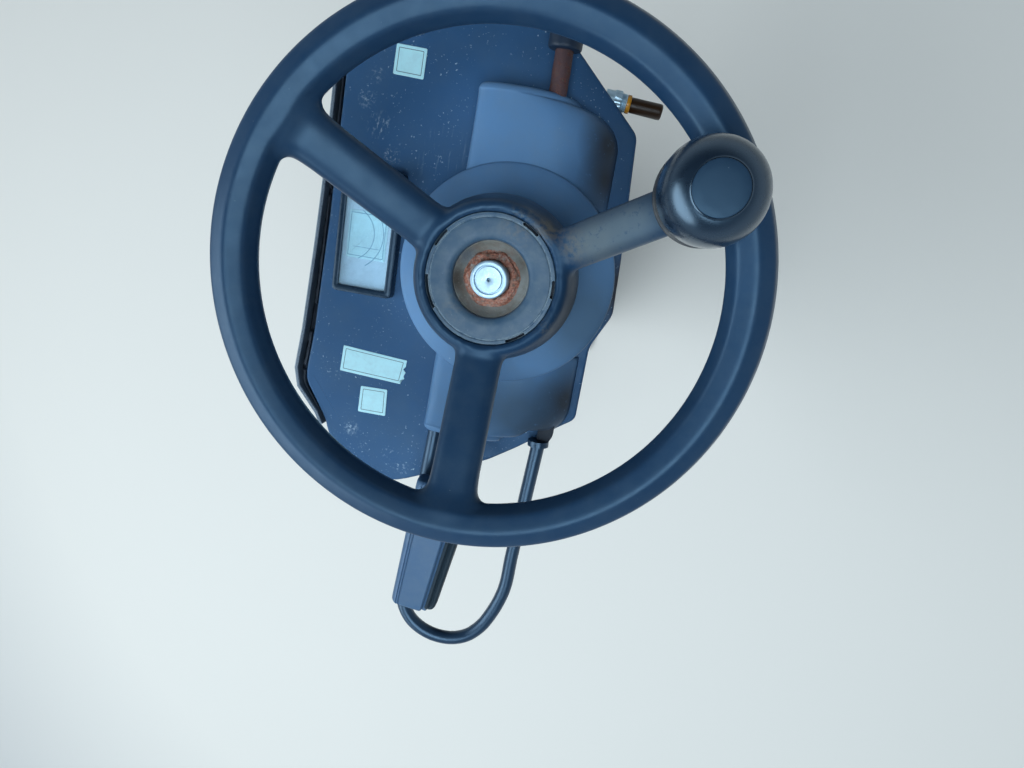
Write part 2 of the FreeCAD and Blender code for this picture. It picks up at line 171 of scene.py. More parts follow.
def softCorners(points, radii, steps=6, closed=False):
    # Each corner becomes a short parabola between the points a radius before and after it.
    pts = [np.array(p, float) for p in points]
    n = len(pts)
    out = []
    for k, p in enumerate(pts):
        r = radii[k] if hasattr(radii, "__len__") else radii
        if r <= 0 or (not closed and k in (0, n - 1)):
            out.append(p[None])
            continue
        before, after = pts[(k - 1) % n] - p, pts[(k + 1) % n] - p
        lb, la = np.linalg.norm(before), np.linalg.norm(after)
        a = p + before / lb * min(r, lb * 0.49)
        b = p + after / la * min(r, la * 0.49)
        t = np.linspace(0, 1, steps)[:, None]
        out.append((1 - t) ** 2 * a + 2 * t * (1 - t) * p + t ** 2 * b)
    return np.concatenate(out)


def spun(profile, steps=96, centre=(0, 0)):
    # A profile of radius and height turned about the upright line through the centre.
    profile = np.asarray(profile, float)
    angle = np.linspace(0, 2 * math.pi, steps, endpoint=False)[None, :]
    r, z = profile[:, :1], profile[:, 1:2]
    return np.stack([centre[0] + r * np.cos(angle), centre[1] + r * np.sin(angle), z + 0 * angle], -1)


def smoothPath(points, count):
    # Catmull-Rom through the points, spaced by chord length.
    p = np.asarray(points, float)
    d = np.concatenate([[0], np.cumsum(np.linalg.norm(np.diff(p, axis=0), axis=1))])
    m = np.gradient(p, d, axis=0)
    s = np.linspace(0, d[-1], count)
    k = np.clip(np.searchsorted(d, s, side="right") - 1, 0, len(d) - 2)
    h = (d[k + 1] - d[k])[:, None]
    t = ((s - d[k])[:, None]) / h
    return ((2 * t ** 3 - 3 * t ** 2 + 1) * p[k] + (t ** 3 - 2 * t ** 2 + t) * h * m[k]
            + (3 * t ** 2 - 2 * t ** 3) * p[k + 1] + (t ** 3 - t ** 2) * h * m[k + 1])


def carried(path, section, up=(0, 0, 1)):
    # A section of side and rise carried along a path; side is square to the path and to up.
    path, section = np.asarray(path, float), np.asarray(section, float)
    tangent = np.gradient(path, axis=0)
    tangent /= np.linalg.norm(tangent, axis=1)[:, None]
    side = np.cross(np.asarray(up, float), tangent)
    side /= np.linalg.norm(side, axis=1)[:, None]
    rise = np.cross(tangent, side)
    if section.ndim == 2:
        section = np.repeat(section[None], len(path), 0)
    return path[:, None] + side[:, None] * section[..., :1] + rise[:, None] * section[..., 1:2]


def circle(radius, steps=24):
    a = np.linspace(0, 2 * math.pi, steps, endpoint=False)
    return radius * np.stack([np.cos(a), np.sin(a)], -1)


def outlineRing(points, radius, inset=0.0, steps=6):
    # A closed outline with soft corners, moved inwards by the inset along its own normals.
    ring = softCorners(points, radius, steps, closed=True)
    ahead, behind = np.roll(ring, -1, 0), np.roll(ring, 1, 0)
    run = ahead - behind
    run /= np.linalg.norm(run, axis=1)[:, None]
    turn = np.sum(ring[:, 0] * ahead[:, 1] - ahead[:, 0] * ring[:, 1])
    normal = np.stack([-run[:, 1], run[:, 0]], -1) * np.sign(turn)
    return ring + normal * inset


def flatRing(outline, corner, inset, z):
    ring = outlineRing(outline, corner, inset)
    return np.column_stack([ring, np.full(len(ring), z)])


def flatStack(outline, corner, levels):
    # Rings of one outline, each with its own inset and height.
    return np.stack([flatRing(outline, corner, inset, z) for inset, z in levels])


def node(tree, kind, values=None, **props):
    made = tree.nodes.new(kind)
    for key, value in props.items():
        setattr(made, key, value)
    for key, value in (values or {}).items():
        if isinstance(value, bpy.types.NodeSocket):
            tree.links.new(value, made.inputs[key])
        else:
            made.inputs[key].default_value = value
    return made


def startFinish(name):
    finish = bpy.data.materials.new(name)
    finish.use_nodes = True
    tree = finish.node_tree
    shader = next(n for n in tree.nodes if n.type == "BSDF_PRINCIPLED")
    place = node(tree, "ShaderNodeTexCoord").outputs["Object"]
    return finish, tree, shader, place


def noise(tree, place, scale, detail=3.0, rough=0.55, stretch=None):
    if stretch:
        place = node(tree, "ShaderNodeMapping", {"Vector": place, "Scale": stretch}).outputs[0]
    return node(tree, "ShaderNodeTexNoise",
                {"Vector": place, "Scale": scale, "Detail": detail, "Roughness": rough}).outputs["Fac"]


def span(tree, value, low, high, toLow=0.0, toHigh=1.0):
    return node(tree, "ShaderNodeMapRange", {"Value": value, "From Min": low, "From Max": high,
                                             "To Min": toLow, "To Max": toHigh}).outputs[0]


def times(tree, a, b, operation="MULTIPLY"):
    return node(tree, "ShaderNodeMath", {0: a, 1: b}, operation=operation).outputs[0]


def tint(tree, share, under, over):
    made = node(tree, "ShaderNodeMix", data_type="RGBA")
    for socket, value in ((made.inputs["Factor"], share), (made.inputs["A"], under), (made.inputs["B"], over)):
        if isinstance(value, bpy.types.NodeSocket):
            tree.links.new(value, socket)
        else:
            socket.default_value = value if isinstance(value, float) else (*value[:3], 1)
    return made.outputs["Result"]


def edgeMask(tree, radius, low=0.004, high=0.06):
    # Where the rounded normal turns away from the true one, the surface has an edge.
    soft = node(tree, "ShaderNodeBevel", {"Radius": radius / 1000}, samples=4).outputs[0]
    true = node(tree, "ShaderNodeNewGeometry").outputs["Normal"]
    dot = node(tree, "ShaderNodeVectorMath", {0: soft, 1: true}, operation="DOT_PRODUCT").outputs["Value"]
    return span(tree, dot, 1 - low, 1 - high)


def stainOrShade(at, radius, share, colour, start=0.44, scale=240, stretch=None):
    # Place and reach in head millimetres, strength, colour, and the noise level from which it shows; used for
    # real stains and for spots of painted light and shade.
    return dict(at=at, radius=radius, share=share, colour=colour, start=start, scale=scale, stretch=stretch)


def stainOrShadeMask(tree, place, spot):
    # A spot that fades with distance and breaks up in a noise.
    centre, radius, start = tuple(onHead(spot["at"])), spot["radius"] / 1000, spot["start"]
    away = node(tree, "ShaderNodeVectorMath", {0: place, 1: centre}, operation="DISTANCE")
    near = span(tree, away.outputs["Value"], radius, radius * 0.25)
    broken = noise(tree, place, spot["scale"], 5, 0.7, spot["stretch"])
    return times(tree, times(tree, near, span(tree, broken, start, start + 0.16)), spot["share"])


plainLook = dict(
    patchScale=14, filmScale=60, speckFrom=0.70, speckScale=520, speckPlace=26, speckShare=0.7, roughScale=90,
    wornFrom=0.5, wornRadius=1.5, wornShare=1.0, metal=0.0, specular=0.35, coatRough=0.08, grain=0.2,
    grainScale=1500, grainDepth=0.0001, waveScale=45, stainsAndShade=())


def plainFinish(name, look):
    # Base colour with soft patches, fine grain, dust specks and worn edges, each by its own share.
    s = dict(plainLook, **look)
    finish, tree, shader, place = startFinish(name)
    patch = noise(tree, place, s["patchScale"], 4, 0.6)
    colour = tint(tree, span(tree, patch, 0.35, 0.68), s["colour"], s["patch"])
    if "film" in s:
        film = noise(tree, place, s["filmScale"], 5, 0.65)
        colour = tint(tree, times(tree, span(tree, film, 0.42, 0.75), s["filmShare"]), colour, s["film"])
    # Spots of real stain, and spots of painted light and shade, laid over the colour so far.
    for spot in s["stainsAndShade"]:
        colour = tint(tree, stainOrShadeMask(tree, place, spot), colour, spot["colour"])
    if "specks" in s:
        fine = noise(tree, place, s["speckScale"], 2.5, 0.6)
        where = noise(tree, place, s["speckPlace"], 3, 0.6)
        mask = times(tree, span(tree, fine, s["speckFrom"], s["speckFrom"] + 0.05), span(tree, where, 0.42, 0.62))
        colour = tint(tree, times(tree, mask, s["speckShare"]), colour, s["specks"])
    rough = span(tree, noise(tree, place, s["roughScale"], 4, 0.6), 0.3, 0.7, *s["rough"])
    if "worn" in s:
        broken = span(tree, noise(tree, place, 160, 4, 0.7), s["wornFrom"], s["wornFrom"] + 0.12)
        worn = times(tree, edgeMask(tree, s["wornRadius"]), broken)
        colour = tint(tree, times(tree, worn, s["wornShare"]), colour, s["worn"])
    tree.links.new(colour, shader.inputs["Base Color"])
    tree.links.new(rough, shader.inputs["Roughness"])
    shader.inputs["Metallic"].default_value = s["metal"]
    shader.inputs["Specular IOR Level"].default_value = s["specular"]
    # Where the dull spot lies, the reflection fades to nothing: painted shade made with a lower specular level.
    if "dullShade" in s:
        level = span(tree, stainOrShadeMask(tree, place, s["dullShade"]), 0, 1, s["specular"], 0)
        tree.links.new(level, shader.inputs["Specular IOR Level"])
    # Painted sky reflection: a blue tint on the reflections stands in for blue sky light.
    if "paintedSkyTint" in s:
        shader.inputs["Specular Tint"].default_value = (*s["paintedSkyTint"], 1.0)
    if "coat" in s:
        shader.inputs["Coat Weight"].default_value = s["coat"]
        shader.inputs["Coat Roughness"].default_value = s["coatRough"]
    grain = noise(tree, place, s["grainScale"], 2.0, 0.5)
    bump = node(tree, "ShaderNodeBump", {"Height": grain, "Strength": s["grain"], "Distance": s["grainDepth"]})
    if "wave" in s:
        slow = noise(tree, place, s["waveScale"], 3, 0.5)
        bump = node(tree, "ShaderNodeBump", {"Height": slow, "Strength": s["wave"], "Distance": 0.0006,
                                             "Normal": bump.outputs[0]})
    tree.links.new(bump.outputs[0], shader.inputs["Normal"])
    return finish


def alongSpoke(distance, degrees, height):
    return (distance * math.cos(math.radians(degrees)), distance * math.sin(math.radians(degrees)), height)


dirt = (0.115, 0.095, 0.072)
# The dark plastics and paints below are near black; the blue cast of their base colours is painted blue sky
# light.
looks = {
    "wheelSkin": dict(
        colour=(0.0105, 0.033, 0.075), patch=(0.0135, 0.040, 0.087), film=(0.07, 0.10, 0.13), filmShare=0.16,
        specks=(0.30, 0.36, 0.40), speckFrom=0.735, speckShare=0.4, rough=(0.35, 0.44), specular=0.45,
        paintedSkyTint=(0.5, 0.77, 1.0), grain=0.22, grainScale=1400, wave=0.05,
        # Painted shade on the rear of the hub skirt: the dull spot takes the reflection away there, and the
        # near-black spot below darkens it. The other spots are dirt and dust.
        dullShade=stainOrShade(alongSpoke(60, 160, -66), 84, 0.9, None, -0.6),
        stainsAndShade=[stainOrShade(alongSpoke(50, 230, -34), 13, 0.85, dirt, 0.36),
                stainOrShade(alongSpoke(60, 211, -30), 14, 0.65, dirt, 0.40),
                stainOrShade(alongSpoke(54, 168, -60), 40, 0.80, (0.005, 0.011, 0.020), -0.2),
                stainOrShade(alongSpoke(74, 209, -22), 24, 0.62, (0.13, 0.145, 0.14), 0.26),
                stainOrShade(alongSpoke(98, 211, -12), 22, 0.50, (0.13, 0.15, 0.15), 0.26),
                stainOrShade(alongSpoke(48, 250, -28), 12, 0.45, (0.15, 0.14, 0.11), 0.46),
                stainOrShade(alongSpoke(50, 150, -30), 12, 0.40, (0.12, 0.11, 0.09), 0.48)]),
    "shroudSkin": dict(
        colour=(0.092, 0.192, 0.352), patch=(0.100, 0.206, 0.372), film=(0.13, 0.18, 0.22), filmShare=0.22,
        specks=(0.45, 0.50, 0.54), speckFrom=0.725, speckShare=0.6, rough=(0.40, 0.52), specular=0.35,
        paintedSkyTint=(0.55, 0.8, 1.0), grain=0.45, grainScale=1700, grainDepth=0.00012,
        # All seven spots are painted: dark brown shade and reflection on the rear roll of both wings, and the
        # wheel's shadow in darker blues on the left wing and the collar.
        stainsAndShade=[stainOrShade((-66, -112, -134), 32, 0.90, (0.022, 0.017, 0.015), 0.24),
                stainOrShade((-70, -84, -136), 32, 0.90, (0.024, 0.018, 0.016), 0.24),
                stainOrShade((-70, 98, -136), 36, 0.90, (0.022, 0.018, 0.017), 0.24),
                stainOrShade((-52, 132, -132), 30, 0.80, (0.024, 0.022, 0.022), 0.24),
                stainOrShade((-30, 112, -120), 46, 0.62, (0.036, 0.050, 0.068), 0.16),
                stainOrShade((-66, 24, -112), 62, 0.72, (0.045, 0.075, 0.110), 0.10),
                stainOrShade((20, 40, -104), 60, 0.30, (0.060, 0.110, 0.180), 0.10)]),
    "dashPaint": dict(
        colour=(0.026, 0.077, 0.172), patch=(0.032, 0.089, 0.192), film=(0.06, 0.10, 0.15), filmShare=0.25,
        filmScale=40, specks=(0.34, 0.46, 0.54), speckFrom=0.655, speckScale=420, speckShare=0.85, speckPlace=34,
        rough=(0.38, 0.56), specular=0.30, paintedSkyTint=(0.6, 0.8, 1.0), grain=0.3, grainScale=1100, wave=0.12,
        worn=(0.16, 0.20, 0.24), wornFrom=0.44, wornRadius=2.0, wornShare=0.8,
        stainsAndShade=[stainOrShade((-90, -2, -150), 34, 0.92, (0.030, 0.020, 0.015), 0.12),
                stainOrShade((139, -120, -150), 9, 0.75, (0.35, 0.45, 0.52), 0.50, 420),
                stainOrShade((126, -101, -150), 13, 0.85, (0.38, 0.48, 0.55), 0.53, 360, (1, 0.45, 1)),
                stainOrShade((113, -78, -150), 9, 0.75, (0.42, 0.50, 0.52), 0.53, 420),
                stainOrShade((70, -84, -150), 26, 0.60, (0.24, 0.33, 0.42), 0.56, 300, (0.9, 0.12, 1)),
                stainOrShade((133, -139, -150), 8, 0.55, (0.30, 0.38, 0.45), 0.52, 420),
                stainOrShade((122, 161, -150), 8, 0.85, (0.36, 0.46, 0.55), 0.48, 360),
                stainOrShade((108, 176, -150), 7, 0.55, (0.32, 0.42, 0.50), 0.52, 420),
                stainOrShade((84, 178, -150), 9, 0.60, (0.32, 0.42, 0.50), 0.55, 420),
                stainOrShade((71, 190, -150), 9, 0.75, (0.36, 0.46, 0.55), 0.52, 420),
                stainOrShade((148, 112, -150), 16, 0.40, (0.20, 0.28, 0.36), 0.55, 420)]),
    "pedestalPaint": dict(
        colour=(0.022, 0.036, 0.060), patch=(0.030, 0.045, 0.070), film=(0.16, 0.15, 0.13), filmShare=0.32,
        specks=(0.30, 0.28, 0.25), speckShare=0.5, rough=(0.36, 0.6), grain=0.25, grainScale=700,
        grainDepth=0.00015, wave=0.15, worn=(0.17, 0.10, 0.07), wornFrom=0.52),
    "weldPaint": dict(
        colour=(0.020, 0.030, 0.046), patch=(0.060, 0.045, 0.038), film=(0.12, 0.08, 0.06), filmShare=0.4,
        rough=(0.4, 0.65), grain=0.4, grainScale=900, grainDepth=0.0002),
    "skirtPaint": dict(
        colour=(0.045, 0.070, 0.105), patch=(0.060, 0.085, 0.120), film=(0.20, 0.22, 0.25), filmShare=0.4,
        rough=(0.4, 0.65), grain=0.3, grainScale=900, wave=0.2, worn=(0.30, 0.36, 0.42), wornFrom=0.30,
        wornRadius=2.4),
    "stripRubber": dict(
        colour=(0.006, 0.010, 0.018), patch=(0.016, 0.024, 0.038), film=(0.06, 0.07, 0.085), filmShare=0.3,
        rough=(0.5, 0.8), grain=0.5, grainScale=900, grainDepth=0.0002, wave=0.3),
    "castIron": dict(
        colour=(0.030, 0.036, 0.044), patch=(0.055, 0.05, 0.048), film=(0.12, 0.08, 0.05), filmShare=0.45,
        rough=(0.5, 0.75), grain=0.6, grainScale=520, grainDepth=0.0003, wave=0.3),
    "tubeSteel": dict(
        colour=(0.34, 0.34, 0.35), patch=(0.24, 0.22, 0.21), film=(0.16, 0.09, 0.06), filmShare=0.5,
        rough=(0.28, 0.5), metal=0.9, grainScale=900),
    "brightZinc": dict(
        colour=(0.50, 0.66, 0.76), patch=(0.42, 0.58, 0.70), film=(0.24, 0.33, 0.42), filmShare=0.5,
        filmScale=260, specks=(0.80, 0.90, 0.95), speckFrom=0.60, speckScale=700, speckShare=0.5,
        rough=(0.30, 0.50), metal=0.55, specular=0.5, grain=0.5, grainScale=1300, wave=0.15),
    "insertSkin": dict(
        colour=(0.034, 0.076, 0.130), patch=(0.045, 0.092, 0.150), film=(0.15, 0.19, 0.21), filmShare=0.38,
        filmScale=110, specks=(0.45, 0.52, 0.56), rough=(0.36, 0.58), grain=0.4, grainScale=1200, wave=0.1,
        worn=(0.22, 0.28, 0.32), wornFrom=0.38, wornRadius=1.0,
        stainsAndShade=[stainOrShade((-14, -36, -31), 16, 0.45, (0.16, 0.15, 0.13)),
                stainOrShade((20, 22, -31), 14, 0.35, (0.15, 0.15, 0.14))]),
    "knobGloss": dict(
        colour=(0.0035, 0.0085, 0.018), patch=(0.0055, 0.012, 0.024), specks=(0.35, 0.42, 0.50), speckFrom=0.75,
        speckShare=0.5, rough=(0.24, 0.32), roughScale=120, grain=0.06, specular=1.0, paintedSkyTint=(0.42, 0.72, 1.0),
        coat=0.5, coatRough=0.22, grainScale=400, wave=0.06, waveScale=90,
        stainsAndShade=[stainOrShade((-111, -101, 56), 11, 0.55, (0.20, 0.26, 0.33), 0.50, 520)]),
    "capSatin": dict(
        colour=(0.012, 0.030, 0.058), patch=(0.016, 0.037, 0.068), specks=(0.40, 0.48, 0.56), speckFrom=0.735,
        speckShare=0.8, rough=(0.34, 0.46), roughScale=240, grain=0.12, paintedSkyTint=(0.5, 0.78, 1.0), grainScale=700),
    "knobBasePaint": dict(
        colour=(0.014, 0.018, 0.025), patch=(0.026, 0.03, 0.038), film=(0.2, 0.19, 0.17), filmShare=0.35,
        rough=(0.4, 0.6), grain=0.3, grainScale=700, worn=(0.33, 0.30, 0.27), wornShare=0.4, wornRadius=1.2),
    "bezelPlastic": dict(
        colour=(0.0075, 0.020, 0.040), patch=(0.012, 0.028, 0.050), film=(0.06, 0.09, 0.12), filmShare=0.2,
        paintedSkyTint=(0.6, 0.8, 1.0), rough=(0.22, 0.36), grainScale=1400, worn=(0.10, 0.14, 0.18), wornFrom=0.42,
        wornRadius=0.8),
    "barPaint": dict(
        colour=(0.010, 0.026, 0.052), patch=(0.014, 0.032, 0.062), specks=(0.35, 0.40, 0.45), speckFrom=0.74,
        speckShare=0.5, rough=(0.28, 0.38), grain=0.12, grainScale=500, specular=0.8, paintedSkyTint=(0.5, 0.74, 1.0),
        wave=0.22),
    "gripSkin": dict(
        colour=(0.050, 0.110, 0.205), patch=(0.057, 0.122, 0.225), film=(0.13, 0.18, 0.22), filmShare=0.25,
        specks=(0.4, 0.45, 0.48), speckFrom=0.735, rough=(0.36, 0.5), grain=0.35, wave=0.06),
    "handleBrown": dict(colour=(0.032, 0.013, 0.004), patch=(0.050, 0.020, 0.006), rough=(0.28, 0.40), grain=0.1,
                        grainScale=500),
    "amberRing": dict(colour=(0.78, 0.33, 0.03), patch=(0.60, 0.22, 0.02), rough=(0.2, 0.35), grain=0.1),
    "panelPale": dict(colour=(0.66, 0.78, 0.84), patch=(0.69, 0.80, 0.86), film=(0.54, 0.68, 0.78), filmShare=0.2,
                      rough=(0.45, 0.6), grain=0.1),
    "facePale": dict(colour=(0.66, 0.93, 0.90), patch=(0.69, 0.94, 0.92), film=(0.58, 0.80, 0.86), filmShare=0.2,
                     rough=(0.5, 0.65), grain=0.1),
    "markInk": dict(colour=(0.14, 0.32, 0.40), patch=(0.18, 0.37, 0.45), rough=(0.5, 0.65), grain=0.1),
    "lineInk": dict(colour=(0.10, 0.17, 0.20), patch=(0.15, 0.23, 0.26), rough=(0.4, 0.6), grain=0.1),
    "labelFilm": dict(
        colour=(0.52, 0.84, 0.90), patch=(0.49, 0.81, 0.88), film=(0.32, 0.48, 0.54), filmShare=0.30,
        filmScale=150, specks=(0.12, 0.19, 0.24), speckFrom=0.745, rough=(0.32, 0.5), grain=0.15,
        grainScale=600, wave=0.15),
    "rustWasher": dict(
        colour=(0.22, 0.23, 0.22), patch=(0.135, 0.125, 0.105), patchScale=95, film=(0.16, 0.075, 0.045),
        filmShare=0.45, filmScale=170, rough=(0.5, 0.75), grain=0.6, grainScale=700, grainDepth=0.0003,
        specks=(0.40, 0.38, 0.34), speckFrom=0.64, speckScale=700,
        # Painted light and shade: the pale spots on the rear and left of the dish are painted light, and the dark
        # spots on its front are painted shadow of the bore's rim.
        stainsAndShade=[stainOrShade((-20, 2, -39), 16, 0.60, (0.30, 0.32, 0.31), 0.30),
                stainOrShade((-6, 22, -39), 14, 0.45, (0.24, 0.24, 0.22), 0.30),
                stainOrShade((23, 3, -38), 11, 0.80, (0.055, 0.042, 0.034), 0.30),
                stainOrShade((19, -13, -40), 9, 0.50, (0.05, 0.08, 0.12), 0.30)]),
}
looks["sleeveSkin"] = dict(looks["gripSkin"], colour=(0.009, 0.021, 0.044), patch=(0.012, 0.026, 0.052),
                           film=(0.03, 0.05, 0.08))
looks["gripShade"] = dict(looks["gripSkin"], colour=(0.015, 0.030, 0.045), patch=(0.024, 0.042, 0.058),
                          film=(0.05, 0.06, 0.07), specular=0.15)
finishes = {name: plainFinish(name, look) for name, look in looks.items()}

rust = dict(scale=(0.30, 0.28, 0.255), deep=(0.17, 0.036, 0.020), bright=(0.52, 0.25, 0.17),
            dirt=(0.095, 0.075, 0.058), bar=(0.085, 0.045, 0.048))


def rustFinish(name, share, painted, s=rust):
    # Rust that breaks through a covering: two noises decide how deep and how bright it is.
    finish, tree, shader, place = startFinish(name)
    deep = noise(tree, place, 190, 6, 0.68)
    fine = noise(tree, place, 900, 4, 0.7)
    rusty = tint(tree, span(tree, fine, 0.38, 0.66), s["deep"], s["bright"])
    rusty = tint(tree, span(tree, noise(tree, place, 420, 3), 0.52, 0.72), rusty, s["dirt"])
    colour = tint(tree, span(tree, deep, 1 - share - 0.08, 1 - share + 0.08), painted, rusty)
    tree.links.new(colour, shader.inputs["Base Color"])
    tree.links.new(span(tree, fine, 0.3, 0.7, 0.5, 0.85), shader.inputs["Roughness"])
    shader.inputs["Metallic"].default_value = 0.1
    shader.inputs["Specular IOR Level"].default_value = 0.35
    bump = node(tree, "ShaderNodeBump", {"Height": fine, "Strength": 0.8, "Distance": 0.0004})
    bump = node(tree, "ShaderNodeBump", {"Height": deep, "Strength": 0.5, "Distance": 0.0008,
                                         "Normal": bump.outputs[0]})
    tree.links.new(bump.outputs[0], shader.inputs["Normal"])
    return finish


barRust = dict(rust, bright=(0.18, 0.07, 0.055), deep=(0.05, 0.018, 0.016))
finishes["rustNut"] = rustFinish("rustNut", 0.58, rust["scale"])
finishes["rustBar"] = rustFinish("rustBar", 0.45, rust["bar"], barRust)

glass = {"colour": (0.90, 0.96, 1.0), "rough": 0.06, "index": 1.45, "clear": 0.90, "dust": (0.60, 0.74, 0.82)}


def glassFinish(name, s=glass):
    # Clear glass under a thin film of dust; most light passes it straight.
    finish, tree, shader, place = startFinish(name)
    shader.inputs["Base Color"].default_value = (*s["colour"], 1)
    shader.inputs["Roughness"].default_value = s["rough"]
    shader.inputs["Transmission Weight"].default_value = 1.0
    shader.inputs["IOR"].default_value = s["index"]
    clear = node(tree, "ShaderNodeBsdfTransparent", {"Color": (*s["colour"], 1)})
    body = node(tree, "ShaderNodeMixShader", {0: s["clear"], 1: shader.outputs[0], 2: clear.outputs[0]})
    dust = node(tree, "ShaderNodeBsdfDiffuse", {"Color": (*s["dust"], 1), "Roughness": 0.6})
    share = span(tree, noise(tree, place, 45, 5, 0.6), 0.3, 0.75, 0.10, 0.26)
    both = node(tree, "ShaderNodeMixShader", {0: share, 1: body.outputs[0], 2: dust.outputs[0]})
    out = next(n for n in tree.nodes if n.type == "OUTPUT_MATERIAL")
    tree.links.new(both.outputs[0], out.inputs["Surface"])
    return finish


finishes["dustyGlass"] = glassFinish("dustyGlass")
print("finishes made")

# Wheel: rim, spokes and hub skirt in one soft skin. The skirt's radius falls with the square of the height.
wheel = {"ring": 160.0, "section": 15.0, "facet": 14.15, "facetSoft": 0.9, "spokes": (90.0, 210.0, 330.0),
         "slimSpoke": 210.0, "slim": 0.88, "rimBlend": 9.0, "hubBlend": 4.5, "rootAt": 36.0, "rootLevel": -47.0,
         "rise": 0.3833, "upright": 0.934, "half": 16.2, "rootHalf": 2.2, "thick": 10.2, "oval": 2.6,
         "flareFrom": 126.0, "flareRun": 32.0, "flare": 5.0, "flareThick": 1.2, "spokeEnd": 157.0, "bore": 44.0,
         "skirt": 58.4, "skirtCurve": 0.0048, "skirtFoot": -70.0, "skirtMiddle": -51.7, "skirtHalf": 22.3,
         "voxel": 1.7}


def softLess(a, b, k):
    # The smaller of two distances, rounded where they come within k of each other.
    h = np.maximum(k - np.abs(a - b), 0) / k
    return np.minimum(a, b) - h * h * k / 4


def softMore(a, b, k):
    return -softLess(-a, -b, k)


def rimGap(p):
    # A ring of round section whose sides are eased to eight soft facets.
    r, z = np.hypot(p[:, 0], p[:, 1]) - wheel["ring"], p[:, 2]
    turn = np.radians(22.5 + 45 * np.arange(8))
    flat = (r[:, None] * np.sin(turn) + z[:, None] * np.cos(turn)).max(1) - wheel["facet"]
    return softMore(np.hypot(r, z) - wheel["section"], flat, wheel["facetSoft"])


def spokeLevel(r, s=wheel):
    return s["rootLevel"] + s["rise"] * (r - s["rootAt"])


def spokeGap(p, angle, s=wheel):
    # A bar of oval section along a line that rises outwards and widens before the rim.
    t = math.radians(angle)
    r = p[:, 0] * math.cos(t) + p[:, 1] * math.sin(t)
    across = -p[:, 0] * math.sin(t) + p[:, 1] * math.cos(t)
    up = (p[:, 2] - spokeLevel(r)) * s["upright"]
    flare = np.clip((r - s["flareFrom"]) / s["flareRun"], 0, 1) ** 2
    slim = s["slim"] if angle == s["slimSpoke"] else 1.0
    half = slim * (s["half"] + s["rootHalf"] * np.clip((60 - r) / 24, 0, 1)) + s["flare"] * flare
    thick = s["thick"] + s["flareThick"] * flare
    gauge = (np.abs(across / half) ** s["oval"] + np.abs(up / thick) ** s["oval"]) ** (1 / s["oval"]) + 1e-6
    side = np.where(gauge < 0.3, -0.7 * thick, np.hypot(across, up) * (1 - 1 / gauge))
    return softMore(softMore(side, r - s["spokeEnd"], 2.0), 34 - r, 2.0)


def hubGap(p, s=wheel):
    # A skirt that widens downwards in a slow curve, between its lip and its lower edge.
    wall = np.hypot(p[:, 0], p[:, 1]) - (
        s["skirt"] - s["skirtCurve"] * np.maximum(p[:, 2] - s["skirtFoot"], 0) ** 2)
    return softMore(wall, np.abs(p[:, 2] - s["skirtMiddle"]) - s["skirtHalf"], 5.0)


def skinGap(p, s=wheel):
    # All parts run into each other softly; the spokes' blend fades out towards the outside of the rim.
    near = np.hypot(p[:, 0], p[:, 1])
    gap = rimGap(p)
    blend = s["rimBlend"] * np.clip((163 - near) / 18, 0.08, 1)
    for angle in s["spokes"]:
        gap = softLess(gap, spokeGap(p, angle), blend)
    return softMore(softLess(gap, hubGap(p), s["hubBlend"]), s["bore"] - near, 1.2)


def settleOn(gapOf, p, rounds=8):
    # Newton steps along the gap's slope bring every point onto the surface.
    for _ in range(rounds):
        gap = gapOf(p)
        slope = np.stack([(gapOf(p + d) - gapOf(p - d)) / 0.2 for d in np.eye(3) * 0.1], -1)
        size = np.maximum((slope ** 2).sum(1), 0.2)
        p = p - np.clip(gap / size, -2.5, 2.5)[:, None] * slope
    return p


def roughWheel(s=wheel):
    # Ring, hub wall and bars as closed grids in millimetres, one mesh before the remesh.
    ring = spun(circle(s["section"], 20) + [s["ring"], 0], 120)
    wall = spun([(44, -73), (57, -73), (55, -50), (49, -31), (44, -31)], 72)
    parts = [(ring, closedRing(ring)), (wall, closedRing(wall))]
    r = np.linspace(44, 155, 20)
    half = 15 + 7 * np.clip((r - s["flareFrom"]) / s["flareRun"], 0, 1) ** 2
    section = circle(1.0, 20)[None] * np.stack([half, 0 * half + 10], -1)[:, None]
    for angle in s["spokes"]:
        t = math.radians(angle)
        bar = carried(np.stack([r * math.cos(t), r * math.sin(t), spokeLevel(r)], -1), section)
        parts.append((bar, closedTube(bar)))
    return joined(parts)


def buildWheelSkin():
    # The rough parts are remeshed to even quads, and these settle on the soft surface.
    points, faces = roughWheel()
    rough = bpy.data.meshes.new("rough")
    rough.from_pydata(points.tolist(), [], faces)
    bm = bmesh.new()
    bm.from_mesh(rough)
    bmesh.ops.recalc_face_normals(bm, faces=bm.faces)
    bm.to_mesh(rough)
    bm.free()
    carrier = linked("rough", rough)
    remesh = carrier.modifiers.new("even", "REMESH")
    remesh.mode, remesh.voxel_size = "VOXEL", wheel["voxel"]
    bpy.context.view_layer.update()
    even = bpy.data.meshes.new_from_object(carrier.evaluated_get(bpy.context.evaluated_depsgraph_get()))
    co = np.empty(len(even.vertices) * 3)
    even.vertices.foreach_get("co", co)
    co = settleOn(skinGap, co.reshape(-1, 3))
    quads = [list(f.vertices) for f in even.polygons]
    bpy.data.objects.remove(carrier)
    piece = addPiece("wheelSkin", onHead(co), quads, "wheel", "wheel_skin", "wheelSkin", ["wheel_moulding"], 80)
    print("wheel skin:", len(piece.data.vertices), "points")


buildWheelSkin()

# Hub: the web under the insert, the insert ring, a dished washer, the nut and the shaft end.
hub = {"slots": ((239, 15.5), (180.5, 14.5), (123, 17.5), (329, 16), (20, 30)), "slotDepth": 4.6, "steps": 480,
       "nutFlat": 17.0, "nutTurn": 10.0}

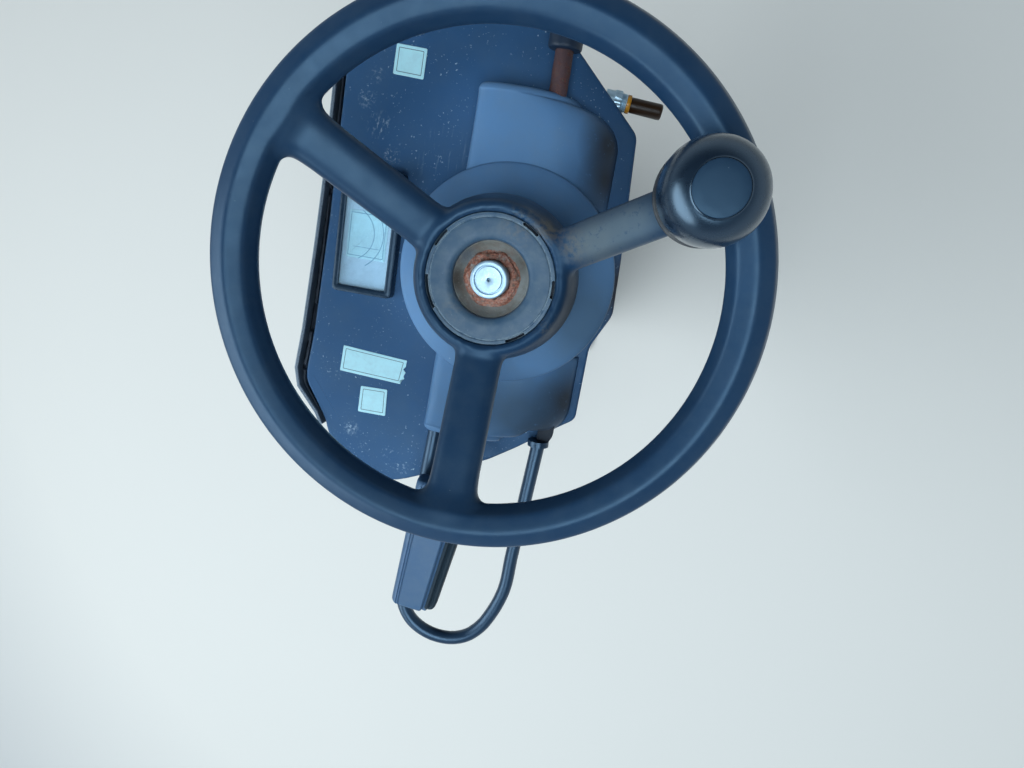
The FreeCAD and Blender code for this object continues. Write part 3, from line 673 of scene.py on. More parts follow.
web = softCorners([(12.6, -84), (20.5, -84), (21, -61), (45.5, -61), (45.5, -36.4), (26.4, -36.4), (26.4, -48.1),
                   (12.6, -48.1)], 0.8, 4, closed=True)
grid = spun(web, 96)
addRing("hubWeb", grid, "wheel", "unit_iron", "castIron", ["hub_boss"])


def insertRing():
    # Rows run out from the bore; the height falls into five clip slots and a fine step near the edge.
    r = np.array([25.8, 26.0, 26.4, 27.2, 28.4, 29.6, 30.6, 31.6, 34, 37, 39.6, 40.0, 40.3, 40.8, 41.2, 41.6,
                  41.8, 42.0, 42.5, 43.0, 43.2, 43.4, 43.7, 43.9])
    z = np.array([-36, -34.2, -33.2, -32.3, -31.7, -31.3, -31.1, -31.0, -30.95, -30.95, -31, -31.1, -31.45,
                  -31.5, -31.1, -31.0, -31.0, -31.0, -31.0, -31.05, -31.1, -31.3, -32.0, -34.0])
    angle = np.linspace(0, 2 * math.pi, hub["steps"], endpoint=False)
    inSlot = np.zeros_like(angle)
    for place, width in hub["slots"]:
        away = np.abs((np.degrees(angle) - place + 180) % 360 - 180)
        inSlot = np.maximum(inSlot, softStep((width / 2 - away) * 5))
    inBand = softStep((r - 41.7) * 30) * softStep((43.3 - r) * 30)
    ripple = 0.10 * np.sin(angle * 90)[None] * np.exp(-((r[:, None] - 40.6) / 0.5) ** 2)
    height = z[:, None] + ripple - hub["slotDepth"] * inBand[:, None] * inSlot[None]
    x, y = r[:, None] * np.cos(angle), r[:, None] * np.sin(angle)
    top = np.stack([x, y, height], -1)
    low = np.stack([x[[-1, 0]], y[[-1, 0]], 0 * x[[-1, 0]] - 36.3], -1)
    return np.concatenate([top, low])


piece = addRing("hubInsert", insertRing(), "wheel", "insert_plastic", "insertSkin", ["hub_insert"])
# Painted shade: the slot floors take the dark rubber finish for the shade down in the slots.
shadedWhere(piece, "stripRubber", lambda x, y, z: (z < -32.2) & (np.abs(np.hypot(x, y) - 42.45) < 0.8))

washer = softCorners([(12.6, -48), (25.0, -48), (25.85, -46), (25.85, -36.9), (25.3, -36.7), (24.0, -38.4),
                      (22.2, -40.6), (19.6, -42.3), (17, -43.0), (12.6, -43.2)],
                      [0.4, 0.8, 0.8, 0.2, 0.2, 2, 3, 3, 2, 0.3],
                     5, closed=True)
grid = spun(washer, 96)
addRing("hubWasher", grid, "wheel", "rusty_steel", "rustWasher", ["hub_washer"])


def hexNut():
    # A hexagon limited by cones, its faces eaten away by the sum of a few slow waves round it.
    angle = np.linspace(0, 2 * math.pi, 180, endpoint=False)
    local = (angle - math.radians(hub["nutTurn"])) % (math.pi / 3) - math.pi / 6
    flat = hub["nutFlat"] / np.cos(local)
    rows = [(12.7, -43.4, 0), (19.6, -43.4, 0), (20.2, -42.6, 0), (19.4, -41.8, 0.4), (18.9, -41.0, 1),
            (18.9, -40.4, 1), (18.5, -39.6, 1), (17.8, -39.0, 1), (16.6, -38.6, 1), (15.2, -38.4, 0),
            (14.2, -38.4, 0),
            (13.4, -38.8, 0), (12.9, -39.6, 0), (12.7, -40.4, 0)]
    eaten = 0.34 * np.sin(7 * angle + 1) + 0.26 * np.sin(13 * angle + 2) + 0.20 * np.sin(23 * angle)
    grid = []
    for k, (limit, z, hexed) in enumerate(rows):
        r = np.minimum(flat, limit) if hexed else np.full_like(angle, limit)
        share = 0.0 if k in (0, len(rows) - 1) else 1.0
        rise = share * (0.22 * np.sin(5 * angle + k) + 0.12 * np.sin(17 * angle + 2 * k))
        r = r + share * eaten * (0.5 + 0.5 * math.sin(k * 1.7))
        grid.append(np.stack([r * np.cos(angle), r * np.sin(angle), z + rise], -1))
    return np.stack(grid)


grid = hexNut()
addRing("hubNut", grid, "wheel", "rusty_steel", "rustNut", ["hub_nut"], 50)

shaftEnd = [(0, -188), (12, -188), (12, -60), (12.5, -59.5), (12.5, -28.2), (12.3, -27.5), (11.7, -27.05),
            (10.9, -27.0), (9.95, -27.0), (9.85, -27.3), (9.75, -30.4), (8.7, -30.4), (8.6, -27.3), (8.45, -27.0),
            (5, -26.95), (2.0, -27.0), (1.35, -27.2), (1.15, -27.8), (1.1, -33.6), (0, -34)]
grid = spun(shaftEnd, 96)
addPiece("shaftEnd", onHead(grid), gridFaces(*grid.shape[:2], False, True), "wheel", "zinc_steel",
         "brightZinc", ["steering_shaft"], 50)
print("hub made")

# Spinner knob: a dished base plate, a turned dome and its cap.
knob = {"place": (-118.2, -68.25), "radius": 28.6, "widest": 39.0, "domeHeight": 25.3, "domePower": 0.8,
        "domeEnd": 64.5}
kr = knob["radius"]
base = softCorners([(0, 2.1), (17, 2.1), (17.5, 6.2), (27, 12.3), (28.5, 14.5), (28.5, 18.3), (0, 18.3)], 1.4, 5)
grid = spun(base, 96, knob["place"])
addPiece("knobBase", onHead(grid), gridFaces(*grid.shape[:2], False, True), "wheel", "knob_metal",
         "knobBasePaint", ["knob_base"])


def knobProfile():
    # The side swells to the widest ring; over it the radius is a power of the cosine and the height of the sine.
    t = np.linspace(0, 1, 12)
    side = np.stack([kr - 1.9 + 1.9 * np.sin(t * math.pi / 2), 23 + (knob["widest"] - 23) * t], -1)
    a = np.linspace(0, math.radians(knob["domeEnd"]), 30)[1:]
    dome = np.stack([kr * np.cos(a) ** knob["domePower"],
                     knob["widest"] + knob["domeHeight"] * np.sin(a) ** knob["domePower"]], -1)
    seat = [(14.55, 62.35), (14.45, 62.1), (14.45, 59.8), (6.1, 59.6)]
    foot = [(6.1, 20.7), (kr - 4.2, 20.7), (kr - 2.6, 21.2)]
    return np.array(foot + side.tolist() + dome.tolist() + seat)


grid = spun(knobProfile(), 128, knob["place"])
addRing("knobBody", grid, "spinner", "knob_plastic", "knobGloss", ["knob_body"], 50)
cap = [(0, 60.1), (14.3, 60.1), (14.3, 62.2), (14.2, 62.5), (13.9, 62.65), (13.5, 62.75), (9, 62.95), (4, 63.05),
       (0, 63.1)]
grid = spun(cap, 96, knob["place"])
addPiece("knobCap", onHead(grid), gridFaces(*grid.shape[:2], False, True), "spinner", "knob_plastic",
         "capSatin", ["knob_cap"], 60)
print("knob made")

# Dash: a folded tray.
dash = {"top": -150.0, "lip": 18.0, "sheet": 3.0, "round": 2.2, "corner": 5.0, "outline": [
    (159, -152), (161.5, -20), (165.4, 78), (169, 115), (168, 125), (147.6, 157), (142.4, 171.6), (112.4, 194.4),
    (77, 204), (66, 200), (40, 188), (-6, 167), (-29, 151), (-60, 127), (-76.5, 115), (-76.8, 50), (-91, 20),
    (-89, -26), (-85.5, -79), (-82.5, -123), (-26, -178), (4, -206), (112, -206)]}


def foldedTray(s):
    # Rings of the outline: over the round edge, down the lip, back up inside to the underside.
    edge, top, lip, sheet = s["round"], s["top"], s["lip"], s["sheet"]
    a = np.linspace(0, math.pi / 2, 6)
    steps = [(edge + 5, top), (edge + 1.2, top)]
    steps += [(edge * (1 - math.sin(t)), top - edge * (1 - math.cos(t))) for t in a]
    steps += [(0, top - 8), (0, top - lip + 0.6), (0.6, top - lip), (sheet - 0.6, top - lip),
              (sheet, top - lip + 0.6),
              (sheet, top - sheet - 1), (sheet + 1, top - sheet), (sheet + 6, top - sheet)]
    return flatStack(s["outline"], s["corner"], steps)


grid = foldedTray(dash)
addTube("dashTray", grid, "console", "dash_paint", "dashPaint", ["dash_plate"], 50)

# Rubber strip in the gap before the dash: a low channel with a bead along the dash, torn here and there.
strip = {"inner": [(160.4, -146), (161.9, -60), (163.0, -10), (165.9, 70), (168.2, 100), (169.6, 116),
                   (168.4, 126),
                   (158, 142), (149.5, 155)],
         "outer": [(164.6, -146), (165.9, -60), (167.9, -10), (171.6, 70), (174.3, 100), (175.5, 114),
                   (173.0, 127),
                   (162, 141.5), (153, 152)],
         "count": 420, "bead": 0.52, "high": -150.9, "low": -158.0, "foot": -162.8,
         "torn": ((0.655, 0.735, -5.0), (0.33, 0.347, -4.0), (0.842, 0.852, -3.5), (0.985, 1.01, -5.0))}


def stripGrid(s):
    # Columns go across from the dash: up the bead, over it, down to the channel and to the far wall.
    inner, outer = smoothPath(s["inner"], s["count"]), smoothPath(s["outer"], s["count"])
    t = np.linspace(0, 1, s["count"])
    waver = 0.06 * np.sin(t * 61) + 0.05 * np.sin(t * 143 + 1) + 0.03 * np.sin(t * 390)
    bead = s["bead"] + waver
    drop = np.zeros_like(t)
    for start, end, fall in s["torn"]:
        drop = np.minimum(drop, fall * softStep((t - start) * 900) * softStep((end - t) * 900))
    high = s["high"] + 0.25 * np.sin(t * 87) + drop
    across = [(0.02, s["foot"] + 0 * t), (0.02, high - 0.8), (0.10, high - 0.1), (0.22, high),
              (0.75 * bead, high - 0.15),
              (bead, high - 0.9), (bead + 0.02, s["low"] + 0 * t), (0.90, s["low"] - 0.6 + 0 * t),
              (0.97, s["low"] + 1.2 + 0 * t), (0.99, s["foot"] + 0 * t)]
    wide = outer - inner
    columns = [np.column_stack([inner + wide * np.reshape(k + 0 * t, (-1, 1)), z]) for k, z in across]
    return np.stack(columns, 1)


grid = stripGrid(strip)
addTube("rubberStrip", grid, "console", "trim_rubber", "stripRubber", ["dash_trim"], 45)

# Blank labels on the dash: a film with a thin printed frame.
label = {"thick": 0.22, "round": 1.3, "frameInset": 2.3, "frameWidth": 0.55}
labels = (
    ("labelWide", [(136.6, 86.5), (107, 88.4), (84, 89.8), (78.2, 90.1), (78.6, 96), (80.6, 98.5), (78.0, 101),
                   (79.5, 104.5), (78.6, 107), (82.0, 109.5), (81.4, 112.2), (110, 111.0), (137.8, 109.7)]),
    ("labelSquare", [(117.0, 120.4), (92.6, 119.6), (91.6, 144.1), (117.2, 144.4)]),
    ("labelUpper", [(119.4, -164.6), (94.0, -163.6), (94.4, -140.4), (120.0, -141.6)]))

for name, outline in labels:
    top = dash["top"] + label["thick"]
    torn = len(outline) > 4
    grid = flatStack(outline, 0.5 if torn else label["round"],
                     [(0, dash["top"] - 0.05), (0, top - 0.08), (0.1, top), (0.6, top)])
    addTube(name, grid, "console", "panel_plastic", "labelFilm")
    outline = [outline[k] for k in (0, 3, -3, -1)] if torn else outline
    a, b = label["frameInset"], label["frameInset"] + label["frameWidth"]
    grid = flatStack(outline, b + 0.6, [(a, top - 0.05), (a, top + 0.03), (b, top + 0.03), (b, top - 0.05)])
    addRing(name + "Frame", grid, "console", "panel_plastic", "lineInk")

# Instrument: a bevelled case, a dial plate with a plain arc, and its glass.
instrument = {"outline": [(149, -66), (149, 38), (97, 38), (97, -66)], "corner": 4.5,
              "plate": [(140.6, -31), (140.4, 8.2), (106.5, 8.2), (106.5, -31)], "marks": (-142.05, -141.93)}
steps = [(0.0, -150.0), (0.0, -139.9), (0.4, -138.8), (1.5, -138.1), (3.9, -138.0), (5.2, -138.3), (5.8, -138.75),
         (5.8, -138.95), (3.5, -138.97), (3.5, -143.9), (4.5, -144.1), (6.5, -144.1)]
grid = np.stack([flatRing(instrument["outline"], instrument["corner"] + inset * 0.6, inset, z)
                 for inset, z in steps])
addTube("instrumentCase", grid, "console", "bezel_plastic", "bezelPlastic", ["instrument_case"], 35)
grid = flatStack(instrument["plate"], 1.0, [(0, -142.6), (0, -142.1), (0.2, -142.0), (1, -142.0)])
addTube("dialPlate", grid, "console", "panel_plastic", "facePale")


def dialArc(radius, width, start, end, centre, s=instrument):
    # A thin band along a circle, flat and raised a little over the dial plate.
    a = np.radians(np.linspace(start, end, 40))
    low, high = s["marks"]
    rings = []
    for r, z in ((radius, low), (radius, high), (radius + width, high), (radius + width, low)):
        rings.append(np.stack([centre[0] + r * np.cos(a), centre[1] + r * np.sin(a), np.full_like(a, z)], -1))
    return np.stack(rings, 1)


def dialBar(x0, x1, y0, y1, s=instrument):
    return flatStack([(x1, y0), (x1, y1), (x0, y1), (x0, y0)], 0.1, [(0, z) for z in s["marks"]])


marks = [dialArc(22.0, 0.7, 118, 242, (140, -11.5)), dialArc(30.0, 0.7, 124, 236, (140, -11.5)),
         dialBar(108.4, 139.0, -29.2, -28.6), dialBar(108.4, 139.0, 6.0, 6.6), dialBar(108.2, 108.8, -29.2, 6.6),
         dialBar(138.6, 139.2, -29.2, 6.6), dialBar(112.5, 134.5, -1.4, -0.9)]
for k, grid in enumerate(marks):
    addTube("dialMark" + str(k), grid, "console", "panel_plastic", "markInk")
print("dash made")

# Shroud: two arched wings and a round collar.
shroud = {"end": 141.0, "sheet": 3.0, "corner": 36.0, "endRound": 6.0, "notchLeft": (-34.0, 60.0),
          "notchRight": (-46.0, 14.0), "swingFrom": 125.0, "swingUnder": -126.5}


def archLine(y, squeeze):
    # From the front foot over the brow and the crest to the rear foot; squeeze draws the rear end forward.
    front = 45.5 + (y + 150) / 300 * 7.5
    key = [(front, -150), (front - 1.5, -130), (front - 4.0, -123.2), (front - 10, -120.4), (24, -118.2),
           (-4, -117.1), (-24, -119.0), (-40, -123.6), (-53, -130.6), (-62, -138.2), (-67.5, -144.5), (-70, -150)]
    line = softCorners(key, [0, 5, 2.5, 3.5, 12, 12, 8, 7, 6, 4, 3, 0], 6)
    rear = -70 + squeeze
    x = front + (line[:, 0] - front) * (front - rear) / (front + 70)
    return np.column_stack([x, np.full(len(line), y), line[:, 1]])


def wing(side, s=shroud):
    # Rows of the arch line; round the rear corner the rear foot comes forward on a quarter circle,
    # then the whole row shrinks on a second one and drops to the dash outside the notch. On the left
    # the rear corner is open low down, where the direction lever swings through.
    reach, corner, edge = s["end"], s["corner"], s["endRound"]
    turn = np.linspace(0, math.pi / 2, 22)
    places = [(y, 0.0) for y in np.linspace(60, reach - corner, 12)[:-1]]
    places += [(reach - corner + (corner - edge) * math.sin(t), (corner - 2) * (1 - math.cos(t))) for t in turn]
    rows = [archLine(side * y, squeeze) for y, squeeze in places]
    last = rows[-1]
    middle = np.array([(last[0, 0] + last[-1, 0]) / 2, 0, -150])
    out = (last - middle)[:, [0, 2]]
    out /= np.linalg.norm(out, axis=1)[:, None]
    for t in np.linspace(0.22, math.pi / 2, 7):
        row = last.copy()
        row[:, [0, 2]] -= out * edge * (1 - math.cos(t))
        row[:, 1] = side * (reach - edge + edge * math.sin(t))
        rows.append(row)
    wall = rows[-1].copy()
    wall[:, 2] = -150
    grid = np.stack(rows + [wall])
    flat = grid.reshape(-1, 3)
    low, high = s["notchLeft"] if side > 0 else s["notchRight"]
    faces = []
    for f in gridFaces(*grid.shape[:2]):
        inWall = max(f) >= (grid.shape[0] - 1) * grid.shape[1]
        x, y, z = flat[f].mean(0)
        inSwing = side > 0 and x < 0 and y > s["swingFrom"] and z < s["swingUnder"]
        if not (inWall and low < x < high or inSwing):
            faces.append(f)
    return grid, faces


def shell(piece, thickness=shroud["sheet"]):
    # Turns an open surface upwards, gives it its wall inwards and closes its edges.
    mesh = piece.data
    normals = np.empty(len(mesh.polygons) * 3)
    mesh.polygons.foreach_get("normal", normals)
    if normals[2::3].mean() < 0:
        mesh.flip_normals()
    wall = piece.modifiers.new("wall", "SOLIDIFY")
    wall.thickness, wall.offset, wall.use_even_offset = thickness / 1000, -1, True


for side, name, stood in ((1, "shroudLeft", "shroud_left"), (-1, "shroudRight", "shroud_right")):
    grid, faces = wing(side)
    shell(addPiece(name, onHead(grid), faces, "console", "shroud_plastic", "shroudSkin", [stood], 60))

collarLine = softCorners([(86, -150), (86, -116.8), (82.6, -115.1), (50, -104.2), (45.8, -102.2), (44, -97.8),
                          (41.4, -97.6)], [0, 2.4, 2.0, 5, 3, 1.2, 0], 6)
grid = spun(collarLine, 144)
flat = grid.reshape(-1, 3)
faces = [f for f in gridFaces(*grid.shape[:2], False, True)
         if not (flat[f, 1].mean() > 55 and abs(flat[f, 0].mean()) < 36 and flat[f, 2].mean() < -124)]
shell(addPiece("shroudCollar", onHead(grid), faces, "console", "shroud_plastic", "shroudSkin",
               ["shroud_collar"], 60))
print("shroud made")

# Direction lever: a cranked rod and a moulded grip.
lever = {"angle": 6.8, "rod": 5.0, "start": 186.0, "end": 306.0, "startHalf": 26.0, "endHalf": 20.0, "half": 11.0,
         "level": -120.0, "round": 0.7}


def turned(points, degrees):
    c, s = math.cos(math.radians(degrees)), math.sin(math.radians(degrees))
    p = np.asarray(points, float)
    return np.stack([p[..., 0] * c - p[..., 1] * s, p[..., 0] * s + p[..., 1] * c, p[..., 2]], -1)


def gripSection(half, low):
    # A slab with a flat top; its rear side steps down into lengthwise ribs, its front edge carries fine grooves.
    top = [(0.86, 0.90), (0.80, 0.985), (0.755, 1.0), (0.735, 0.93), (0.715, 0.93), (0.695, 1.0), (0.655, 1.0),
           (0.635, 0.93), (0.615, 0.93), (0.595, 1.0), (0.1, 1.0), (-0.40, 0.985), (-0.455, 0.90), (-0.475, 0.62),
           (-0.52, 0.58), (-0.56, 0.62), (-0.66, 0.64), (-0.70, 0.56), (-0.715, 0.20), (-0.76, 0.14),
           (-0.80, 0.18),
           (-0.90, 0.18), (-0.95, 0.10), (-0.985, -0.10)]
    bottom = [(-1.0, -0.60), (-0.97, -0.85), (-0.88, -0.97), (0.88, -1.0), (0.97, -0.9), (1.0, -0.6), (1.0, 0.1),
              (0.96, 0.62)]
    return np.array(top + bottom) * [half, low]


def gripGrid(s=lever):
    # Sections along the lever; the width falls to the outer end, and both ends round off.
    share = np.array([0, 0.004, 0.010, 0.020, 0.035, 0.06, 0.2, 0.4, 0.6, 0.8, 0.93, 0.955, 0.972, 0.985, 0.994,
                      1.0])
    size = np.array([0.80, 0.91, 0.955, 0.98, 0.992, 1.0, 1.0, 1.0, 1.0, 1.0, 1.0, 0.996, 0.985, 0.96, 0.92,
                     0.82])
    rows = []
    for a, k in zip(share, size):
        half = s["startHalf"] + (s["endHalf"] - s["startHalf"]) * a
        cut = (1 - k) * s["endHalf"]
        section = gripSection(half - cut, s["half"] - cut)
        y = s["start"] + (s["end"] - s["start"]) * a
        rows.append(np.column_stack([section[:, 0], np.full(len(section), y), section[:, 1] + s["level"]]))
    return np.stack(rows)


def onRibs(x, y, z, s=lever):
    x, y, z = turned(np.stack([x, y, z], -1), s["angle"]).T
    half = s["startHalf"] + (y - s["start"]) / (s["end"] - s["start"]) * (s["endHalf"] - s["startHalf"])
    return (x / half < -0.60) & (z < -109.5)


grid = turned(gripGrid(), -lever["angle"])
piece = addTube("leverGrip", grid, "direction_lever", "grip_plastic", "gripSkin", ["lever_grip"], 34)
shadedWhere(piece, "gripShade", onRibs)  # the ribbed side is darker than the top
softEdges(piece, lever["round"], 2, 32)

line = smoothPath(softCorners([(0, 38, -138), (0, 145, -138), (0, 178, -120), (0, 222, -120)], 14, 10), 60)
grid = turned(carried(line, circle(lever["rod"]), up=(1, 0, 0)), -lever["angle"])
addTube("leverRod", grid, "direction_lever", "bar_paint", "barPaint", ["lever_rod"])

# Guard hoop: one bent bar.
hoop = {"radius": 6.0, "level": -144.0, "bend": [
    (42, 122), (45.7, 190), (48.2, 235), (50.4, 276), (51.5, 296), (49.5, 322), (41, 335), (28, 343.5), (14, 347),
    (-1, 346), (-13.5, 340.5), (-25.5, 328), (-34, 311), (-41, 288), (-43, 250), (-45.7, 198), (-48.7, 142.3)]}
line = np.array([(x, y, hoop["level"]) for x, y in hoop["bend"]], float)
grid = carried(smoothPath(line, 170), circle(hoop["radius"], 32))
addTube("guardHoop", grid, "console", "bar_paint", "barPaint", ["guard_hoop"])
# The tab on the dash that takes the hoop's end, and the ring round that end.
tab = {"outline": [(-46.5, 120), (-46.5, 137), (-51, 140), (-57, 137.5), (-60, 131), (-60, 120)], "low": -160.0,
       "high": -141.5, "round": 0.7, "ring": ((-48.43, 137.3, -144), (-48.7, 142.3, -144)), "ringRadius": 9.2}
grid = flatStack(tab["outline"], 3, [(tab["round"], tab["low"]), (0, tab["low"] + tab["round"]),
                                     (0, tab["high"] - tab["round"]), (tab["round"], tab["high"])])
addTube("hoopTab", grid, "console", "bar_paint", "stripRubber", ["hoop_tab"])
grid = carried(np.array(tab["ring"], float), circle(tab["ringRadius"], 36))
addTube("hoopTabRing", grid, "console", "bar_paint", "barPaint")
print("levers and hoop made")

# Tip lever: a worn bar in a fluted sleeve.
tip = {"x": -16.0, "bar": 7.0, "grip": 13.0, "start": (-171.5, -131.5), "run": (-114.5, 11.7), "flutes": 16,
       "depth": 0.045}
line = np.linspace((tip["x"], -113, -138), (tip["x"], -216, -127), 40)
wobble = 1 + 0.015 * np.sin(np.linspace(0, 19, 40)) + 0.01 * np.sin(np.linspace(0, 47, 40))
section = circle(tip["bar"], 28)[None] * wobble[:, None, None]
grid = carried(line, section)
addTube("tipBar", grid, "tip_lever", "rusty_steel", "rustBar", ["tip_bar"])


def tipSleeve(s=tip):
    # The radius is a plain collar, then flutes of |sin| along the sleeve, and a quarter-round end.
    t = np.concatenate([[0, 0.004, 0.012, 0.022, 0.03], np.linspace(0.04, 0.95, 50),
                        1 - 0.045 * (1 - np.linspace(0, 1, 10) ** 0.6)])
    line = np.array([s["x"], *s["start"]]) + t[:, None] * np.array([0, *s["run"]])
    lip = 0.82 + 0.18 * np.sqrt(np.clip(1 - ((0.022 - t) / 0.022).clip(0) ** 2, 0, 1))
    end = np.sqrt(np.clip(1 - ((t - 0.95) / 0.0505).clip(0) ** 2, 0.0, 1))
    a = np.linspace(0, 2 * math.pi, 160, endpoint=False)
    live = softStep((t - 0.135) * 150) * softStep((0.925 - t) * 150)
    flute = s["depth"] * (np.abs(np.sin(s["flutes"] / 2 * a)) ** 0.6 - 1)
    ringMark = 1 - 0.02 * np.exp(-((t - 0.105) / 0.008) ** 2)
    radius = s["grip"] * (lip * end * ringMark)[:, None] * (1 + flute[None] * live[:, None])
    section = np.stack([radius * np.cos(a), radius * np.sin(a)], -1)
    return carried(line, section)


grid = tipSleeve()
addTube("tipSleeve", grid, "tip_lever", "grip_plastic", "sleeveSkin", ["tip_grip"], 50)
print("tip lever made")


def turnedAlong(profile, root, direction, steps=64, fluted=None):
    # Rows of distance along a line and radius round it; fluted gives the rows whose radius has fine teeth.
    direction = np.asarray(direction, float) / np.linalg.norm(direction)
    side = np.cross(direction, (0.0, 0.0, 1.0) if abs(direction[2]) < 0.9 else (1.0, 0.0, 0.0))
    side /= np.linalg.norm(side)
    rise = np.cross(side, direction)
    a = np.linspace(0, 2 * math.pi, steps, endpoint=False)
    profile = np.asarray(profile, float)
    radius = profile[:, 1:2] * np.ones((1, steps))
    if fluted:
        rows, teeth, depth = fluted
        radius[rows[0]:rows[1]] -= depth * (0.5 + 0.5 * np.cos(teeth * a))
    return (np.asarray(root, float) + profile[:, :1, None] * direction + radius[..., None]
            * (np.cos(a)[:, None] * side + np.sin(a)[:, None] * rise))


# Stop knob on the rear corner of the dash: a threaded neck, an amber washer and a turned handle.
stopTurn = math.radians(4.5)
stop = {"root": (-52, -148.3, -159), "line": (-math.cos(stopTurn), math.sin(stopTurn), -0.05)}
neck = [(0, 7.6), (6.6, 7.6), (7.4, 8.5), (12.2, 8.5), (12.9, 7.9)]
neck += [(13.2 + 0.42 * k, 7.2 if k % 2 else 6.7) for k in range(9)] + [(17.3, 6.6)]
grid = turnedAlong(neck, stop["root"], stop["line"], 60, ((2, 4), 12, 0.9))
addTube("stopNeck", grid, "console", "zinc_steel", "brightZinc", ["stop_base"], 35)
band = [(17.3, 6.4), (17.6, 6.9), (18.6, 7.0), (20.2, 7.0), (20.6, 6.7), (20.7, 6.3)]
grid = turnedAlong(band, stop["root"], stop["line"])
addTube("stopWasher", grid, "console", "amber_plastic", "amberRing", ["stop_band"], 50)
handle = [(18.9, 4.6), (19.2, 5.4), (20.0, 5.8), (24, 5.9), (36, 6.0), (43.5, 6.1), (45.2, 6.0), (46.0, 5.6),
          (46.5, 4.8), (46.6, 4.0), (46.3, 3.6)]
grid = turnedAlong(handle, stop["root"], stop["line"])
addTube("stopHandle", grid, "console", "handle_plastic", "handleBrown", ["stop_handle"], 60)

# Key switch: a ribbed nut round a barrel, and a flat key with a holed bow.
key = {"place": (106, -184), "thick": 2.0, "bow": -126.2, "hole": 3.2}
barrel = [(0, 12.2), (0.6, 13), (3.6, 13), (4.4, 12.4), (4.8, 10.4), (8.2, 10.2), (8.9, 9.6), (9.0, 8.6),
          (8.4, 8.3),
          (7.2, 8.2), (7.0, 7.6), (7.0, 1.0)]
grid = turnedAlong(barrel, (*key["place"], -150), (0, 0, 1), 96, ((1, 3), 24, 0.7))
addTube("keyBarrel", grid, "console", "zinc_steel", "brightZinc", ["key_switch"], 35)


def keyBow():
    # A ring in the plane of x and z whose outside is a rounded square and whose hole is round.
    a = np.linspace(0, 2 * math.pi, 72, endpoint=False)
    c, s = np.cos(a), np.sin(a)
    outer = 1 / (np.abs(c / 11) ** 3.4 + np.abs(s / 10) ** 3.4) ** (1 / 3.4)
    hole = np.full_like(a, key["hole"])
    half = key["thick"] / 2
    rows = [(hole + 0.4, -half), (hole, -half + 0.4), (hole, half - 0.4), (hole + 0.4, half), (outer - 0.5, half),
            (outer, half - 0.5), (outer, -half + 0.5), (outer - 0.5, -half)]
    x, y = key["place"]
    return np.stack([np.stack([x + r * c, y + 0 * a + shift, key["bow"] + r * s + 0 * a], -1)
                     for r, shift in rows])


grid = keyBow()
addRing("keyBow", grid, "console", "handle_plastic", "bezelPlastic", ["key_blade"], 30)
bladeOutline = [(103, -145), (109, -145), (109, -138.4), (110.4, -137.6), (110.4, -135.2), (101.6, -135.2),
                (101.6, -137.6), (103, -138.4)]
bladeRing = softCorners(bladeOutline, 0.4, 3, closed=True)
grid = np.stack([np.column_stack([bladeRing[:, 0], np.full(len(bladeRing), y), bladeRing[:, 1]])
                 for y in (-184.7, -183.3)])
addTube("keyBlade", grid, "console", "zinc_steel", "brightZinc", (), 30)

# Power socket on the left wall: a ribbed nut round an open bore.
socketLine = [(80, 14), (80, 16.4), (80.5, 17), (86, 17), (86.6, 16.4), (87, 14.6), (92.2, 14.4), (93.4, 13.8),
              (94, 12.8), (93.8, 11.8), (93, 11.05), (92.4, 11), (83, 11), (83, 3)]
grid = turnedAlong(socketLine, (-40, 0, 400), (0, 1, 0), 96, ((2, 4), 16, 0.8))
addPiece("powerSocket", onBase(grid), closedTube(grid), "console", "grip_plastic", "bezelPlastic",
         ["power_socket"], 35)


def screwHeads(places, radius, height, direction, recess=0.5):
    # Domed heads with a six-sided recess, all in one mesh.
    rows = [(-0.4, radius * 0.9), (0, radius), (height * 0.45, radius), (height * 0.8, radius * 0.86),
            (height, radius * 0.6), (height, radius * recess), (height * 0.35, radius * recess * 0.96)]
    heads = [turnedAlong(rows, place, direction, 36, ((5, 7), 6, radius * 0.08)) for place in places]
    return joined([(grid, closedTube(grid)) for grid in heads])


points, faces = screwHeads([(32.5, y, z) for y in (-54, 54) for z in (105, 220, 335)], 5.2, 3.2, (1, 0, 0))
addPiece("coverScrews", onBase(points), faces, "console", "zinc_steel", "brightZinc", (), 35)
points, faces = screwHeads([(x, y, -166) for x in (-48.5, 48.5) for y in (-32, 32)], 5.0, 5.0, (0, 0, -1), 0.55)
addPiece("flangeScrews", onHead(points), faces, "console", "zinc_steel", "brightZinc", (), 35)
turn = np.radians(np.arange(7) * 360 / 7)
points, faces = screwHeads([(35 * math.cos(t), 35 * math.sin(t), -292) for t in turn], 5.0, 5.0, (0, 0, -1), 0.55)
addPiece("unitScrews", onHead(points), faces, "console", "zinc_steel", "brightZinc", (), 35)

# Weld beads at the foot of the pedestal and along the gussets.
weld = {"radius": 3.0, "ripple": 0.13, "pitch": 3.4}


def weldBead(path, closed=False, s=weld):
    # A round bar whose radius swells and falls with each ripple along its path.
    path = np.asarray(path, float)
    if closed:
        path = np.concatenate([path, path[:1]])
    run = np.concatenate([[0], np.cumsum(np.linalg.norm(np.diff(path, axis=0), axis=1))])
    steps = np.linspace(0, run[-1], int(run[-1] / s["pitch"] * 6))
    line = np.stack([np.interp(steps, run, path[:, k]) for k in range(3)], -1)
    size = 1 + s["ripple"] * np.abs(np.sin(steps * math.pi / s["pitch"]))
    size = size + 0.08 * np.sin(steps * 0.23) * np.sin(steps * 0.071 + 1)
    if not closed:
        size *= np.sqrt(np.clip(1 - ((2.5 - np.minimum(steps, run[-1] - steps)) / 2.6).clip(0) ** 2, 0.05, 1))
    return carried(line, circle(s["radius"], 12)[None] * size[:, None, None], up=(0.31, 0.17, 0.93))


